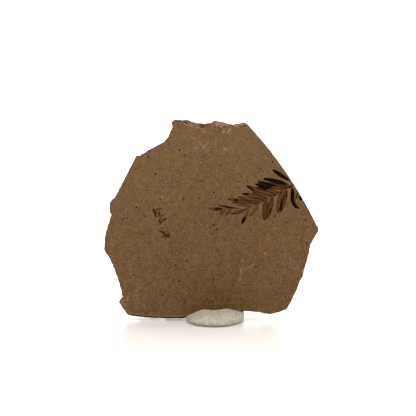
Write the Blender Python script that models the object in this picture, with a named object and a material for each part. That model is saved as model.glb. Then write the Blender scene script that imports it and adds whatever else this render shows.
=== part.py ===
"""A fossil leaf plate standing in a lump of display putty.

The plate is a broken slab of layered mudstone with a conifer sprig pressed into its front face.
It leans back a little and its lower edge stands in a flattened lump of putty.
Metres, +X right, +Z up, front of the plate toward -Y, table at z = 0.
On the plate itself positions are millimetres: across, up the face, and depth behind the face.
"""
import math

import bmesh
import bpy
from mathutils import Vector, noise
from mathutils.geometry import delaunay_2d_cdt

MM = 0.001

# Plate
PLATE_THICKNESS = 8.0
PLATE_LEAN = math.radians(6.0)
PLATE_LIFT = 1.2  # height of the face's lower edge above the table
FACE_WAVE = 0.15  # gentle unevenness of the split faces
RIM_STEP = 2.0  # longest straight piece of the broken rim
RIM_ROUGHNESS = 0.32  # how far the break wanders off its line
FACE_GRID = 6.0  # spacing of the points that carry the unevenness

# Corners of the plate's outline, clockwise from the left point of the horn.
# Each is (across, up, bulge of the stretch that follows, roughness of that stretch).
RIM = [
    (-18.4, 91.5, 0.2, 0.5),
    (-17.2, 93.1, 0.0, 0.4),
    (-10.8, 93.1, -0.2, 1.0),
    (-6.8, 91.8, -0.1, 1.0),
    (-0.3, 91.4, 0.0, 1.0),
    (1.9, 92.0, 0.1, 0.4),
    (4.2, 92.2, -0.1, 0.6),
    (10.4, 91.0, -0.1, 0.8),
    (15.1, 92.0, 0.2, 0.4),
    (17.1, 91.0, 2.2, 0.3),
    (49.6, 43.5, 0.3, 0.2),
    (50.2, 42.0, 0.2, 0.2),
    (49.8, 40.4, 0.0, 0.8),
    (46.5, 34.7, 0.35, 1.0),
    (43.6, 22.9, 0.1, 0.8),
    (42.7, 19.0, 0.0, 0.5),
    (41.5, 17.1, 0.2, 1.0),
    (38.6, 10.4, 0.2, 1.0),
    (35.4, 4.2, 0.2, 0.6),
    (27.3, 1.8, -0.25, 1.0),
    (17.5, 3.3, 0.0, 0.0),
    (11.0, 3.6, 0.0, 0.0),
    (-8.0, 1.7, 0.0, 0.0),
    (-12.7, 0.0, 0.0, 0.3),
    (-19.8, -0.2, 0.1, 0.6),
    (-32.7, 0.5, 0.2, 0.7),
    (-39.2, 1.7, 0.1, 0.7),
    (-43.1, 7.5, 0.2, 0.5),
    (-41.5, 9.8, -1.3, 1.2),
    (-49.9, 32.3, 0.75, 1.0),
    (-46.4, 48.9, 0.0, 0.4),
    (-47.2, 50.0, 0.1, 1.0),
    (-47.2, 54.4, 0.2, 0.5),
    (-44.8, 57.1, -0.05, 1.0),
    (-35.8, 74.3, -0.05, 0.8),
    (-34.9, 76.2, 0.2, 0.3),
    (-33.2, 76.3, 0.2, 0.9),
    (-22.0, 82.8, -0.45, 0.9),
    (-17.9, 90.3, 0.0, 0.4),
]

# The break runs through three beds of stone. Each bed is (depth where it ends, mean setback, wander).
BEDS = [(2.7, 0.0, 0.0), (5.3, 0.35, 0.35), (PLATE_THICKNESS, 0.5, 0.6)]
BED_SEAM = 0.25  # depth over which one bed steps back to the next
SEAM_WANDER = 0.35  # how far the seams run up and down in depth
SEAM_WAVE = 0.15  # waves of a seam for each millimetre along the rim
BED_HOLLOW = 0.3  # how far the middle of a bed is broken back behind its edges
HOLLOW_WAVE = 0.22  # waves of those hollows for each millimetre
BREAK_WAVES = (0.115, 0.36)  # long and short waves of a bed's broken edge for each millimetre
BACK_BEVEL = 0.5

# Chips struck off the rim: (across, up, depth, half width, half height, half depth, turn in degrees).
CHIPS = [
    (-7.2, 93.0, -0.5, 5.9, 3.8, 2.3, -12.0),
    (5.1, 91.9, -0.4, 5.1, 2.0, 1.7, -3.0),
    (12.8, 92.0, -0.4, 3.2, 1.4, 1.4, 9.0),
    (-42.2, 5.7, -0.4, 3.4, 1.2, 1.0, -56.0),
    (-49.1, 37.0, -0.4, 5.0, 0.8, 1.0, 82.0),
    (-46.7, 56.0, -0.4, 2.4, 0.9, 1.0, 40.0),
    (46.0, 30.6, -0.4, 3.4, 0.8, 1.0, 76.0),
]

# Beds that split away from the back: (depth they leave, corners of the split in across and up).
BACK_SPLITS = [
    (6.9, [(-60, -10), (-60, 34), (-44, 31), (-31, 33), (-22, 25), (-14, 22), (-9, 10), (-10, -10)]),
    (5.6, [
        (60, 70), (60, 30), (41, 33), (34, 41), (31, 52), (22, 60), (17, 72), (6, 78), (2, 100), (60, 100),
    ]),
    (7.3, [(-60, 100), (-60, 62), (-36, 61), (-24, 68), (-19, 77), (-10, 82), (-4, 100)]),
]

SPLIT_STEP = 3.5  # longest straight piece of a split's ragged edge
SPLIT_WANDER = 1.6  # how far that edge strays

# The sprig. The stem runs from the right edge to the tip of the sprig.
SPRIG_DEPTH = 0.3
STEM_WIDTH = 1.0
STEM = [
    (38.6, 62.9), (35.1, 61.3), (29.9, 58.0), (24.9, 55.2),
    (19.0, 52.4), (14.5, 51.5), (9.4, 51.8), (4.0, 51.5),
]

# Leaflets: (base across, base up, tip across, tip up, width, how far the middle bends to the left).
LEAFLETS = [
    (36.6, 64.9, 29.0, 69.8, 1.6, 0.0),
    (36.0, 62.8, 24.7, 65.6, 1.9, -0.35),
    (35.0, 61.9, 22.0, 64.2, 1.3, 0.1),
    (34.0, 60.9, 21.0, 63.2, 1.8, 0.0),
    (31.6, 59.3, 21.2, 61.5, 1.3, 0.1),
    (30.0, 58.1, 17.0, 62.2, 1.7, 0.2),
    (26.4, 56.3, 14.9, 58.7, 1.6, -0.1),
    (24.9, 55.4, 12.8, 57.1, 1.4, 0.15),
    (21.6, 53.7, 8.2, 56.1, 1.4, -0.2),
    (19.0, 52.5, 10.2, 54.6, 1.3, 0.0),
    (13.0, 51.8, 3.3, 53.5, 1.1, 0.3),
    (6.0, 51.6, -0.6, 51.6, 1.7, 0.1),
    (37.9, 61.6, 41.5, 51.7, 1.8, -1.4),
    (35.5, 60.6, 31.8, 50.1, 1.9, 0.4),
    (32.3, 59.2, 30.8, 49.7, 1.5, -0.15),
    (28.7, 57.2, 26.9, 47.9, 2.0, 0.05),
    (25.8, 55.7, 25.0, 46.6, 2.1, -0.2),
    (21.8, 53.4, 18.1, 48.2, 1.6, 0.2),
    (17.5, 51.9, 14.7, 44.9, 1.4, 0.2),
    (16.7, 51.8, 9.7, 49.4, 1.5, 0.3),
    (9.4, 51.7, 6.9, 48.8, 1.5, 0.1),
    (6.4, 51.6, 4.2, 49.1, 1.4, 0.1),
]

# Putty lump
PUTTY_HEIGHT = 5.7
PUTTY_CENTRE = 1.7  # across, from the middle of the plate
PUTTY_LEFT = 13.6
PUTTY_RIGHT = 13.6
PUTTY_FRONT = 16.5
PUTTY_BACK = 17.0
PUTTY_WAIST = 0.3  # share of the height at which the lump is widest
PUTTY_FOOT = 0.9  # size of the flat foot against the widest outline
PUTTY_AROUND = 44
PUTTY_ROWS = 10
FINGER_DENT = 0.35
GAP = 0.3  # clear space between putty and plate, so that the two solids never share a face
SLOT_TOP = 20.0  # the cutter of the slot ends well above the lump


def on_plate(across, up, depth):
    """A point given in millimetres on the plate, in metres in the upright plate's own frame."""
    return Vector((across, depth, up)) * MM


def wander(where, lane):
    """A smooth value between -1 and 1 that changes along a line; each lane is its own pattern."""
    return noise.noise(Vector((where, 3.7 * lane + 0.31, 1.3)))


def face_wave(across, up):
    """How far the split face lies behind its mean plane; it is flat where the putty grips it."""
    grip = min(max((up - 7.0) / 8.0, 0.0), 1.0)
    return FACE_WAVE * grip * noise.noise(Vector((across / 17.0, up / 14.0, 4.2)))


def rim_outline():
    """The plate's outline as the front shows it, and how far along the rim each of its points lies."""
    points = []
    alongs = []
    travelled = 0.0
    for number, (x, z, bulge, rough) in enumerate(RIM):
        next_x, next_z = RIM[(number + 1) % len(RIM)][:2]
        length = math.hypot(next_x - x, next_z - z)
        outward = Vector(((z - next_z) / length, (next_x - x) / length))
        pieces = max(1, round(length / RIM_STEP))
        for piece in range(pieces):
            share = piece / pieces
            base = Vector((x + (next_x - x) * share, z + (next_z - z) * share))
            place_along = travelled + length * share
            broken = wander(place_along * 0.45, 1) + 0.6 * wander(place_along * 1.1, 2)
            ease = min(1.0, 4 * share * (1 - share) + 0.2 * (piece > 0))
            swell = 4 * bulge * share * (1 - share)
            points.append(base + outward * (swell + RIM_ROUGHNESS * rough * broken * ease * (piece > 0)))
            alongs.append(place_along)
        travelled += length
    return points, alongs


def inward_directions(points):
    """Unit vectors into the plate at each point of the outline, smoothed along the rim."""
    count = len(points)
    raw = []
    for number in range(count):
        along = points[(number + 1) % count] - points[number - 1]
        raw.append(Vector((along.y, -along.x)).normalized())
    smooth = []
    for number in range(count):
        total = Vector((0.0, 0.0))
        for shift in (-2, -1, 0, 1, 2):
            total += raw[(number + shift) % count] * (3 - abs(shift))
        smooth.append(total.normalized())
    return smooth


def front_bevel(point):
    """Width of the worn edge round the front face; wide along the lower left edge."""
    lower_left = min(max((9.0 - point.y) / 6.0, 0.0), 1.0) * min(max((-14.0 - point.x) / 4.0, 0.0), 1.0)
    return 0.3 + 0.9 * lower_left


def edge_rings(points, alongs):
    """Rings of (across, up, depth) from the front edge over the three beds to the back edge."""
    inward = inward_directions(points)
    rings = []

    def ring(depth_of, setback_of):
        line = []
        for point, along, direction in zip(points, alongs, inward):
            moved = point + direction * setback_of(along, point)
            line.append((moved.x, moved.y, depth_of(along, point)))
        rings.append(line)

    def is_gripped(point):
        return point.y < 6.0 and abs(point.x) < 20.0

    def setback(bed, along, point, extra):
        mean, swing = BEDS[bed][1:]
        if is_gripped(point):
            return mean
        long_wave, short_wave = BREAK_WAVES
        broken = wander(along * long_wave, 5 + bed) + 0.7 * wander(along * short_wave, 8 + bed)
        hollow = extra * (0.5 + 0.8 * wander(along * HOLLOW_WAVE, 15 + bed))
        return max(0.0, mean + swing * broken + hollow)

    def seam(bed, shift):
        end = BEDS[bed][0]
        return lambda a, p: end + shift + (not is_gripped(p)) * SEAM_WANDER * wander(a * SEAM_WAVE, 21 + bed)

    def broken_row(bed, depth_of, extra=0.0):
        ring(depth_of, lambda a, p: setback(bed, a, p, extra))

    ring(lambda a, p: 0.0, lambda a, p: front_bevel(p))
    ring(lambda a, p: 0.9 * front_bevel(p), lambda a, p: 0.0)
    for bed in range(len(BEDS)):
        if bed > 0:
            broken_row(bed, seam(bed - 1, BED_SEAM))
        start = BEDS[bed - 1][0] if bed > 0 else 0.8
        middle = 0.5 * (start + BEDS[bed][0])
        broken_row(bed, lambda a, p, d=middle: d, BED_HOLLOW)
        if bed < len(BEDS) - 1:
            broken_row(bed, seam(bed, 0.0))
    broken_row(2, lambda a, p: PLATE_THICKNESS - BACK_BEVEL)
    ring(lambda a, p: PLATE_THICKNESS, lambda a, p: setback(2, a, p, 0.0) + BACK_BEVEL)
    return rings


def face_triangles(ring, grid_shift):
    """Points inside a ring and the triangles that fill it, as indices into ring points then inner points."""
    outline = [Vector((x, z)) for x, z, _ in ring]
    inner = []
    columns = int(100 / FACE_GRID) + 2
    for column in range(columns):
        for row in range(columns):
            across = -52 + column * FACE_GRID + FACE_GRID * 0.5 * (row % 2) + grid_shift
            up = row * FACE_GRID * 0.9 + grid_shift
            point = Vector((across, up))
            if is_inside(point, outline) and min((point - corner).length for corner in outline) > 2.4:
                inner.append(point)
    corners = outline + inner
    loop = list(range(len(outline)))
    made = delaunay_2d_cdt(corners, [], [loop], 1, 1e-7)
    sources = made[3]
    index_of = [origins[0] for origins in sources]
    triangles = [[index_of[corner] for corner in face] for face in made[2]]
    return inner, triangles


def is_inside(point, outline):
    """Whether a point lies inside a closed outline."""
    inside = False
    for number, a in enumerate(outline):
        b = outline[number - 1]
        if (a.y > point.y) != (b.y > point.y):
            crossing = a.x + (point.y - a.y) * (b.x - a.x) / (b.y - a.y)
            if point.x < crossing:
                inside = not inside
    return inside


def mesh_object(name, corners, faces, material=None):
    """A mesh object of triangles from corners in metres, with its faces turned outward."""
    mesh = bpy.data.meshes.new(name)
    shape = bmesh.new()
    made = [shape.verts.new(corner) for corner in corners]
    for face in faces:
        shape.faces.new([made[index] for index in face])
    bmesh.ops.recalc_face_normals(shape, faces=shape.faces)
    bmesh.ops.triangulate(shape, faces=shape.faces)
    shape.to_mesh(mesh)
    shape.free()
    thing = bpy.data.objects.new(name, mesh)
    bpy.context.scene.collection.objects.link(thing)
    if material:
        mesh.materials.append(material)
    return thing


def plain_material(name, colour, roughness):
    """A Principled BSDF material of one colour."""
    material = bpy.data.materials.new(name)
    material.use_nodes = True
    shader = material.node_tree.nodes["Principled BSDF"]
    shader.inputs["Base Color"].default_value = (*colour, 1.0)
    shader.inputs["Roughness"].default_value = roughness
    return material


def joined_rings(rings):
    """Corners and side faces of rings that all have the same number of points."""
    count = len(rings[0])
    corners = [corner for ring in rings for corner in ring]
    faces = []
    for level in range(len(rings) - 1):
        for number in range(count):
            following = (number + 1) % count
            low = level * count
            high = low + count
            faces.append((low + number, low + following, high + following, high + number))
    return corners, faces


def prism(name, outline, near, far):
    """A cutter: an outline on the face pushed from one depth to another."""
    rings = [[on_plate(x, z, depth) for x, z in outline] for depth in (near, far)]
    corners, faces = joined_rings(rings)
    count = len(outline)
    faces.append(tuple(range(count)))
    faces.append(tuple(range(count, 2 * count)))
    return as_cutter(mesh_object(name, corners, faces))


def as_cutter(thing):
    """Marks an object as one that only cuts another."""
    thing.hide_render = True
    thing.display_type = "WIRE"
    return thing


def ragged(outline, lane):
    """An outline with the wander of a break along each of its sides."""
    points = []
    for number, corner in enumerate(outline):
        start = Vector(corner)
        end = Vector(outline[(number + 1) % len(outline)])
        side = Vector((start.y - end.y, end.x - start.x)).normalized()
        pieces = max(1, round((end - start).length / SPLIT_STEP))
        for piece in range(pieces):
            share = piece / pieces
            offset = SPLIT_WANDER * wander(number * 7.7 + share * pieces * 0.8, lane)
            points.append(start.lerp(end, share) + side * offset * (piece > 0))
    return [tuple(point) for point in points]


def cut(thing, cutter, crosses_itself=False):
    """Takes a cutter's shape out of an object."""
    step = thing.modifiers.new(cutter.name, "BOOLEAN")
    step.operation = "DIFFERENCE"
    step.solver = "EXACT"
    step.use_self = crosses_itself
    step.object = cutter


def plate_body(material):
    """The slab with its three-bed broken rim and its gently uneven faces."""
    rings = edge_rings(*rim_outline())
    corners, faces = joined_rings(rings)
    corners = [on_plate(x, z, depth) for x, z, depth in corners]
    count = len(rings[0])
    for ring, first, level, shift in (
        (rings[0], 0, 0.0, 0.0),
        (rings[-1], count * (len(rings) - 1), PLATE_THICKNESS, 1.7),
    ):
        inner, triangles = face_triangles(ring, shift)
        start = len(corners)
        sign = 1.0 if level == 0.0 else -2.0
        corners += [on_plate(p.x, p.y, level + sign * face_wave(p.x, p.y)) for p in inner]
        for triangle in triangles:
            faces.append([first + index if index < count else start + index - count for index in triangle])
    return mesh_object("fossil_plate", corners, faces, material)


def chip_cutter(number, across, up, depth, half_width, half_height, half_depth, turn):
    """A ragged scoop: a squashed ball turned in the plane of the face."""
    around = 14
    rows = 6
    angle = math.radians(turn)
    corners = []
    for row in range(1, rows):
        tilt = math.pi * row / rows
        for step in range(around):
            spin = 2 * math.pi * step / around
            ragged = 1 + 0.16 * wander(step * 1.7 + row * 0.9, 11 + number)
            x = half_width * ragged * math.sin(tilt) * math.cos(spin)
            z = half_height * ragged * math.sin(tilt) * math.sin(spin)
            y = -half_depth * math.cos(tilt)
            turned_x = x * math.cos(angle) - z * math.sin(angle)
            turned_z = x * math.sin(angle) + z * math.cos(angle)
            corners.append(on_plate(across + turned_x, up + turned_z, depth + y))
    faces = joined_rings([corners[row * around:(row + 1) * around] for row in range(rows - 1)])[1]
    front = len(corners)
    corners.append(on_plate(across, up, depth - half_depth))
    corners.append(on_plate(across, up, depth + half_depth))
    last = (rows - 2) * around
    for step in range(around):
        following = (step + 1) % around
        faces.append((front, step, following))
        faces.append((front + 1, last + step, last + following))
    return as_cutter(mesh_object("chip_%d" % number, corners, faces))


def groove(line, widths, depths):
    """Corners and faces of a shallow double trough with a rib along its middle."""
    proud = 0.8
    sections = []
    for number, point in enumerate(line):
        before = line[max(number - 1, 0)]
        after = line[min(number + 1, len(line) - 1)]
        along = (after - before).normalized()
        side = Vector((-along.y, along.x))
        half = widths[number] / 2
        deep = depths[number]
        section = []
        for offset, depth in (
            (-1.0, -proud), (-1.0, 0.03), (-0.55, deep), (0.0, 0.5 * deep),
            (0.55, deep), (1.0, 0.03), (1.0, -proud),
        ):
            spot = point + side * offset * half
            section.append(on_plate(spot.x, spot.y, depth + face_wave(spot.x, spot.y)))
        sections.append(section)
    corners, faces = joined_rings(sections)
    size = len(sections[0])
    faces.append(tuple(range(size)))
    faces.append(tuple(range(len(corners) - size, len(corners))))
    return corners, faces


def leaflet_line(base, tip, bend, stations):
    """Points from a leaflet's base to its tip; the middle bends to the left by the given distance."""
    along = tip - base
    side = Vector((-along.y, along.x)).normalized()
    return [base + along * s + side * 4 * bend * s * (1 - s) for s in stations]


def sprig_cutter():
    """All leaflets and the stem as one cutter made of overlapping grooves."""
    corners = []
    faces = []

    def add(part):
        start = len(corners)
        corners.extend(part[0])
        faces.extend([tuple(start + index for index in face) for face in part[1]])

    stations = (0.0, 0.12, 0.38, 0.66, 0.88, 1.0)
    fullness = (0.3, 0.72, 1.0, 0.95, 0.62, 0.12)
    for x, z, tip_x, tip_z, width, bend in LEAFLETS:
        line = leaflet_line(Vector((x, z)), Vector((tip_x, tip_z)), bend, stations)
        widths = [width * share for share in fullness]
        depths = [SPRIG_DEPTH * (0.55 + 0.45 * share) for share in fullness]
        add(groove(line, widths, depths))
    stem = [Vector(point) for point in STEM]
    widths = [STEM_WIDTH * (1 - 0.08 * number) for number in range(len(stem))]
    add(groove(stem, widths, [1.2 * SPRIG_DEPTH] * len(stem)))
    return as_cutter(mesh_object("sprig", corners, faces))


def putty_lump(material):
    """A flattened lump with a flat foot, blunt on the right and drawn out on the left."""
    rings = []
    heights = [0.0]
    heights += [PUTTY_HEIGHT * math.sin(math.pi / 2 * (row / PUTTY_ROWS)) for row in range(1, PUTTY_ROWS)]
    for height in heights:
        share = height / PUTTY_HEIGHT
        ring = []
        for step in range(PUTTY_AROUND):
            spin = 2 * math.pi * step / PUTTY_AROUND
            right = 0.5 + 0.5 * math.cos(spin)
            if share < PUTTY_WAIST:
                below = 1 - share / PUTTY_WAIST
                size = 1 - (1 - PUTTY_FOOT) * below * below
            else:
                above = (share - PUTTY_WAIST) / (1 - PUTTY_WAIST)
                blunt = 1.75 + 0.9 * right
                size = (1 - above ** blunt) ** (1 / blunt)
            across = PUTTY_RIGHT if math.cos(spin) > 0 else PUTTY_LEFT
            ahead = PUTTY_BACK if math.sin(spin) > 0 else PUTTY_FRONT
            corner = 1 + 0.05 * math.sin(2 * spin) ** 2
            dent = 1 + 0.035 * noise.noise(Vector((1.6 * math.cos(spin), 1.6 * math.sin(spin), 5.0 + share)))
            x = PUTTY_CENTRE + across * math.cos(spin) * size * corner * dent
            y = ahead * math.sin(spin) * size * corner * dent
            ring.append(Vector((x, y, height)) * MM)
        rings.append(ring)
    corners, faces = joined_rings(rings)
    faces.append(tuple(range(PUTTY_AROUND)))
    last = len(corners) - PUTTY_AROUND
    top = len(corners)
    corners.append(Vector((PUTTY_CENTRE, 0.0, PUTTY_HEIGHT)) * MM)
    for step in range(PUTTY_AROUND):
        faces.append((top, last + step, last + (step + 1) % PUTTY_AROUND))
    lump = mesh_object("putty_stand", corners, faces, material)
    for vertex in lump.data.vertices:
        if vertex.co.z > 0.4 * PUTTY_HEIGHT * MM:
            x = vertex.co.x / MM - PUTTY_CENTRE
            dip = FINGER_DENT * (0.4 - math.cos(x * 0.55)) * (vertex.co.z / MM / PUTTY_HEIGHT)
            vertex.co.z += dip * MM
    lump.data.shade_smooth()
    return lump


def slot_cutter():
    """The plate's foot grown by the gap: the room that the plate takes in the putty."""
    foot = [(x, z - GAP) for x, z, _, _ in RIM if -21.0 < x < 29.0 and z < 5.0]
    outline = foot + [(foot[-1][0], SLOT_TOP), (foot[0][0], SLOT_TOP)]
    return prism("slot", outline, -GAP, PLATE_THICKNESS + GAP)


def empty(name, parent=None):
    """A plain pose that other objects hang on."""
    pose = bpy.data.objects.new(name, None)
    bpy.context.scene.collection.objects.link(pose)
    pose.parent = parent
    return pose


def stand_over_origin(whole, things):
    """Moves the pose of the whole so that its bounding box stands centred over the origin."""
    bpy.context.view_layer.update()
    graph = bpy.context.evaluated_depsgraph_get()
    spots = []
    for thing in things:
        made = thing.evaluated_get(graph)
        spots += [made.matrix_world @ vertex.co for vertex in made.data.vertices]
    for axis in (0, 1):
        low = min(spot[axis] for spot in spots)
        high = max(spot[axis] for spot in spots)
        whole.location[axis] = -(low + high) / 2
    bpy.context.view_layer.update()


def build():
    """Makes the whole object."""
    for old in list(bpy.data.objects):
        bpy.data.objects.remove(old, do_unlink=True)
    stone = plain_material("mudstone", (0.165, 0.087, 0.038), 0.85)
    clay = plain_material("display_putty", (0.50, 0.44, 0.36), 0.7)
    whole = empty("whole")
    pose = empty("plate_pose", whole)
    pose.rotation_euler.x = -PLATE_LEAN
    pose.location.y = -PLATE_THICKNESS / 2 * math.cos(PLATE_LEAN) * MM
    pose.location.z = PLATE_LIFT * MM
    plate = plate_body(stone)
    cutters = [chip_cutter(number, *chip) for number, chip in enumerate(CHIPS)]
    for number, (depth, outline) in enumerate(BACK_SPLITS):
        outline = ragged(outline, 31 + number)
        cutters.append(prism("split_%d" % number, outline, depth, PLATE_THICKNESS + 3))
    for cutter in cutters:
        cut(plate, cutter)
    sprig = sprig_cutter()
    cut(plate, sprig, crosses_itself=True)
    lump = putty_lump(clay)
    slot = slot_cutter()
    cut(lump, slot)
    for thing in (plate, sprig, slot, *cutters):
        thing.parent = pose
    lump.parent = whole
    stand_over_origin(whole, [plate, lump])


build()
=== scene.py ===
import math

import bpy
import numpy as np
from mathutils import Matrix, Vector, noise
from mathutils.geometry import delaunay_2d_cdt


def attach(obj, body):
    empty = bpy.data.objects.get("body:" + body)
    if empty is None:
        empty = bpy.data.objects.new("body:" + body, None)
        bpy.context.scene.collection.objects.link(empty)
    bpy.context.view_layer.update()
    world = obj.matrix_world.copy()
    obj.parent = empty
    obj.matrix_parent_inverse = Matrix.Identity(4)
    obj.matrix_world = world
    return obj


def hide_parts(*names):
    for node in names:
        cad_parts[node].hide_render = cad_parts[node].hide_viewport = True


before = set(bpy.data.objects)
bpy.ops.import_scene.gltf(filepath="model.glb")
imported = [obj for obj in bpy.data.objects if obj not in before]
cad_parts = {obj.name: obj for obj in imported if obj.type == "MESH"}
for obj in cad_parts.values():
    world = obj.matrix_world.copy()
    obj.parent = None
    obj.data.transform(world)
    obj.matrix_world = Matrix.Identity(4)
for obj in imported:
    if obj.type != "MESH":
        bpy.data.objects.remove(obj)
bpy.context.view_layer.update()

# A fossil leaf plate of brown mudstone that stands in a lump of grey display putty.
# Positions on the plate are millimetres: across, up the face, and depth behind the face.

MM = 0.001

# Plate
PLATE_THICKNESS = 8.0
PLATE_LEAN = math.radians(6.0)
PLATE_LIFT = 1.2
SHIFT_ACROSS = -0.15
SHIFT_BACK = -0.14
RIM_ROUGHNESS = 0.32
RIM_WAVES = [(0.45, 1.0), (1.1, 0.6), (2.3, 0.28), (5.0, 0.14)]  # (waves for each millimetre, strength)
FACE_WAVE = 0.15

# Corners of the outline, clockwise from the left point of the horn.
# Each is (across, up, bulge of the stretch that follows, roughness of that stretch).
RIM = [
    (-18.4, 91.5, 0.2, 0.5), (-17.2, 93.1, 0.0, 0.4), (-10.8, 93.1, -0.2, 1.0), (-6.8, 91.8, -0.1, 1.0),
    (-0.3, 91.4, 0.0, 1.0), (1.9, 92.0, 0.1, 0.4), (4.2, 92.2, -0.1, 0.6), (10.4, 91.0, -0.1, 0.8),
    (15.1, 92.0, 0.2, 0.4), (17.1, 91.0, 2.2, 0.3), (49.6, 43.5, 0.3, 0.2), (50.2, 42.0, 0.2, 0.2),
    (49.8, 40.4, 0.0, 0.8), (46.5, 34.7, 0.35, 1.0), (43.6, 22.9, 0.1, 0.8), (42.7, 19.0, 0.0, 0.5),
    (41.5, 17.1, 0.2, 1.0), (38.6, 10.4, 0.2, 1.0), (35.4, 4.2, 0.2, 0.6), (27.3, 1.8, -0.25, 1.0),
    (17.5, 3.3, 0.0, 0.0), (11.0, 3.6, 0.0, 0.0), (-8.0, 1.7, 0.0, 0.0), (-12.7, 0.0, 0.0, 0.3),
    (-19.8, -0.2, 0.1, 0.6), (-32.7, 0.5, 0.2, 0.7), (-39.2, 1.7, 0.1, 0.7), (-43.1, 7.5, 0.2, 0.5),
    (-41.5, 9.8, -1.3, 1.2), (-49.9, 32.3, 0.75, 1.0), (-46.4, 48.9, 0.0, 0.4), (-47.2, 50.0, 0.1, 1.0),
    (-47.2, 54.4, 0.2, 0.5), (-44.8, 57.1, -0.05, 1.0), (-35.8, 74.3, -0.05, 0.8), (-34.9, 76.2, 0.2, 0.3),
    (-33.2, 76.3, 0.2, 0.9), (-22.0, 82.8, -0.45, 0.9), (-17.9, 90.3, 0.0, 0.4),
]

# The break runs through three beds: (depth where the bed ends, mean setback, wander).
BEDS = [(2.7, 0.0, 0.0), (5.3, 0.35, 0.35), (PLATE_THICKNESS, 0.5, 0.6)]
SEAM_WANDER = 0.35
BED_HOLLOW = 0.35
BACK_BEVEL = 0.5
BEVEL_SHARES = (0.0, 0.12, 0.35, 0.7, 1.0)

# Chips struck off the rim: (across, up, depth, half width, half height, half depth, turn in degrees).
# The first few are on the top edge and show fresh stone, painted paler as well for the light that falls on
# them from above.
CHIPS = [
    (-7.2, 93.0, -0.5, 5.9, 3.8, 2.3, -12.0),
    (5.1, 91.9, -0.4, 5.1, 2.0, 1.7, -3.0),
    (12.8, 92.0, -0.4, 3.2, 1.4, 1.4, 9.0),
    (-42.2, 5.7, -0.4, 3.4, 1.2, 1.0, -56.0),
    (-49.1, 37.0, -0.4, 5.0, 0.8, 1.0, 82.0),
    (-46.7, 56.0, -0.4, 2.4, 0.9, 1.0, 40.0),
    (46.0, 30.6, -0.4, 3.4, 0.8, 1.0, 76.0),
]
TOP_CHIPS = 3

# The fine layers of the stone that show where it is chipped: their height, and how far they stand in steps.
LAYER_STEP = 0.4
LAYER_LEDGE = 1.375

# Beds that split away from the back: (depth they leave, corners of the split).
BACK_SPLITS = [
    (6.9, [(-60, -10), (-60, 34), (-44, 31), (-31, 33), (-22, 25), (-14, 22), (-9, 10), (-10, -10)]),
    (5.6, [(60, 70), (60, 30), (41, 33), (34, 41), (31, 52), (22, 60), (17, 72), (6, 78), (2, 100),
           (60, 100)]),
    (7.3, [(-60, 100), (-60, 62), (-36, 61), (-24, 68), (-19, 77), (-10, 82), (-4, 100)]),
]

# The sprig's leaflets: base and tip (across, up, across, up), width, bend to the left, brownness, and the
# darkness of the outline. The stem runs from the right edge to the tip.
LEAFLETS = [
    (36.6, 64.9, 29.0, 69.8, 1.6, 0.0, 0.7, 0.6), (36.0, 62.8, 24.7, 65.6, 1.9, -0.35, 0.7, 0.6),
    (35.0, 61.9, 22.0, 64.2, 1.3, 0.1, 0.6, 0.7), (34.0, 60.9, 21.0, 63.2, 1.8, 0.0, 0.55, 0.9),
    (31.6, 59.3, 21.2, 61.5, 1.4, 0.1, 0.4, 0.9), (30.0, 58.1, 17.0, 62.2, 1.8, 0.2, 0.45, 1.0),
    (28.6, 57.3, 19.6, 59.3, 1.2, -0.1, 0.35, 0.85), (26.4, 56.3, 14.9, 58.7, 1.6, -0.1, 0.5, 1.0),
    (24.9, 55.4, 12.8, 57.1, 1.4, 0.15, 0.4, 0.9), (23.0, 54.4, 13.6, 55.7, 1.1, 0.0, 0.4, 0.75),
    (21.6, 53.7, 8.2, 56.1, 1.5, -0.2, 0.4, 0.8), (19.0, 52.5, 10.2, 54.6, 1.4, 0.0, 0.45, 0.7),
    (13.0, 51.7, 3.3, 53.5, 0.9, 0.3, 0.6, 0.7), (5.4, 51.6, -0.6, 51.6, 1.9, 0.1, 0.5, 0.3),
    (37.9, 61.3, 41.2, 51.75, 1.2, -1.5, 0.75, 0.6), (35.1, 60.2, 32.4, 50.3, 2.1, 0.3, 0.55, 1.0),
    (32.5, 59.1, 31.2, 50.0, 1.8, -0.1, 0.55, 0.8), (28.7, 56.9, 26.1, 47.5, 2.3, 0.1, 0.6, 1.0),
    (25.8, 55.7, 25.0, 46.6, 2.3, -0.2, 0.6, 1.0), (21.8, 53.0, 18.1, 48.2, 1.6, 0.2, 0.4, 0.4),
    (17.5, 51.6, 14.9, 45.1, 1.4, 0.2, 0.5, 0.4), (16.7, 51.7, 9.7, 49.4, 1.5, 0.3, 0.45, 0.7),
    (9.4, 51.5, 6.9, 48.8, 1.6, 0.1, 0.55, 0.4), (6.4, 51.3, 4.2, 49.1, 1.6, 0.1, 0.55, 0.4),
]
STEM = [
    (38.2, 62.9), (37.2, 61.9), (35.1, 61.4), (33.3, 60.3), (31.5, 59.2), (29.9, 58.0), (28.2, 57.1),
    (26.7, 56.3), (24.9, 55.2), (23.2, 54.3), (21.1, 53.3), (19.0, 52.4), (17.2, 51.8), (14.5, 51.5),
    (12.4, 51.7), (9.4, 51.8), (6.4, 51.6), (4.6, 51.5),
]
STEM_WIDTHS = (0.9, 0.35)
RIBBED_WIDTH = 1.85  # leaflets wider than this show a midrib
VEIN_INSET = 0.13

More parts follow.
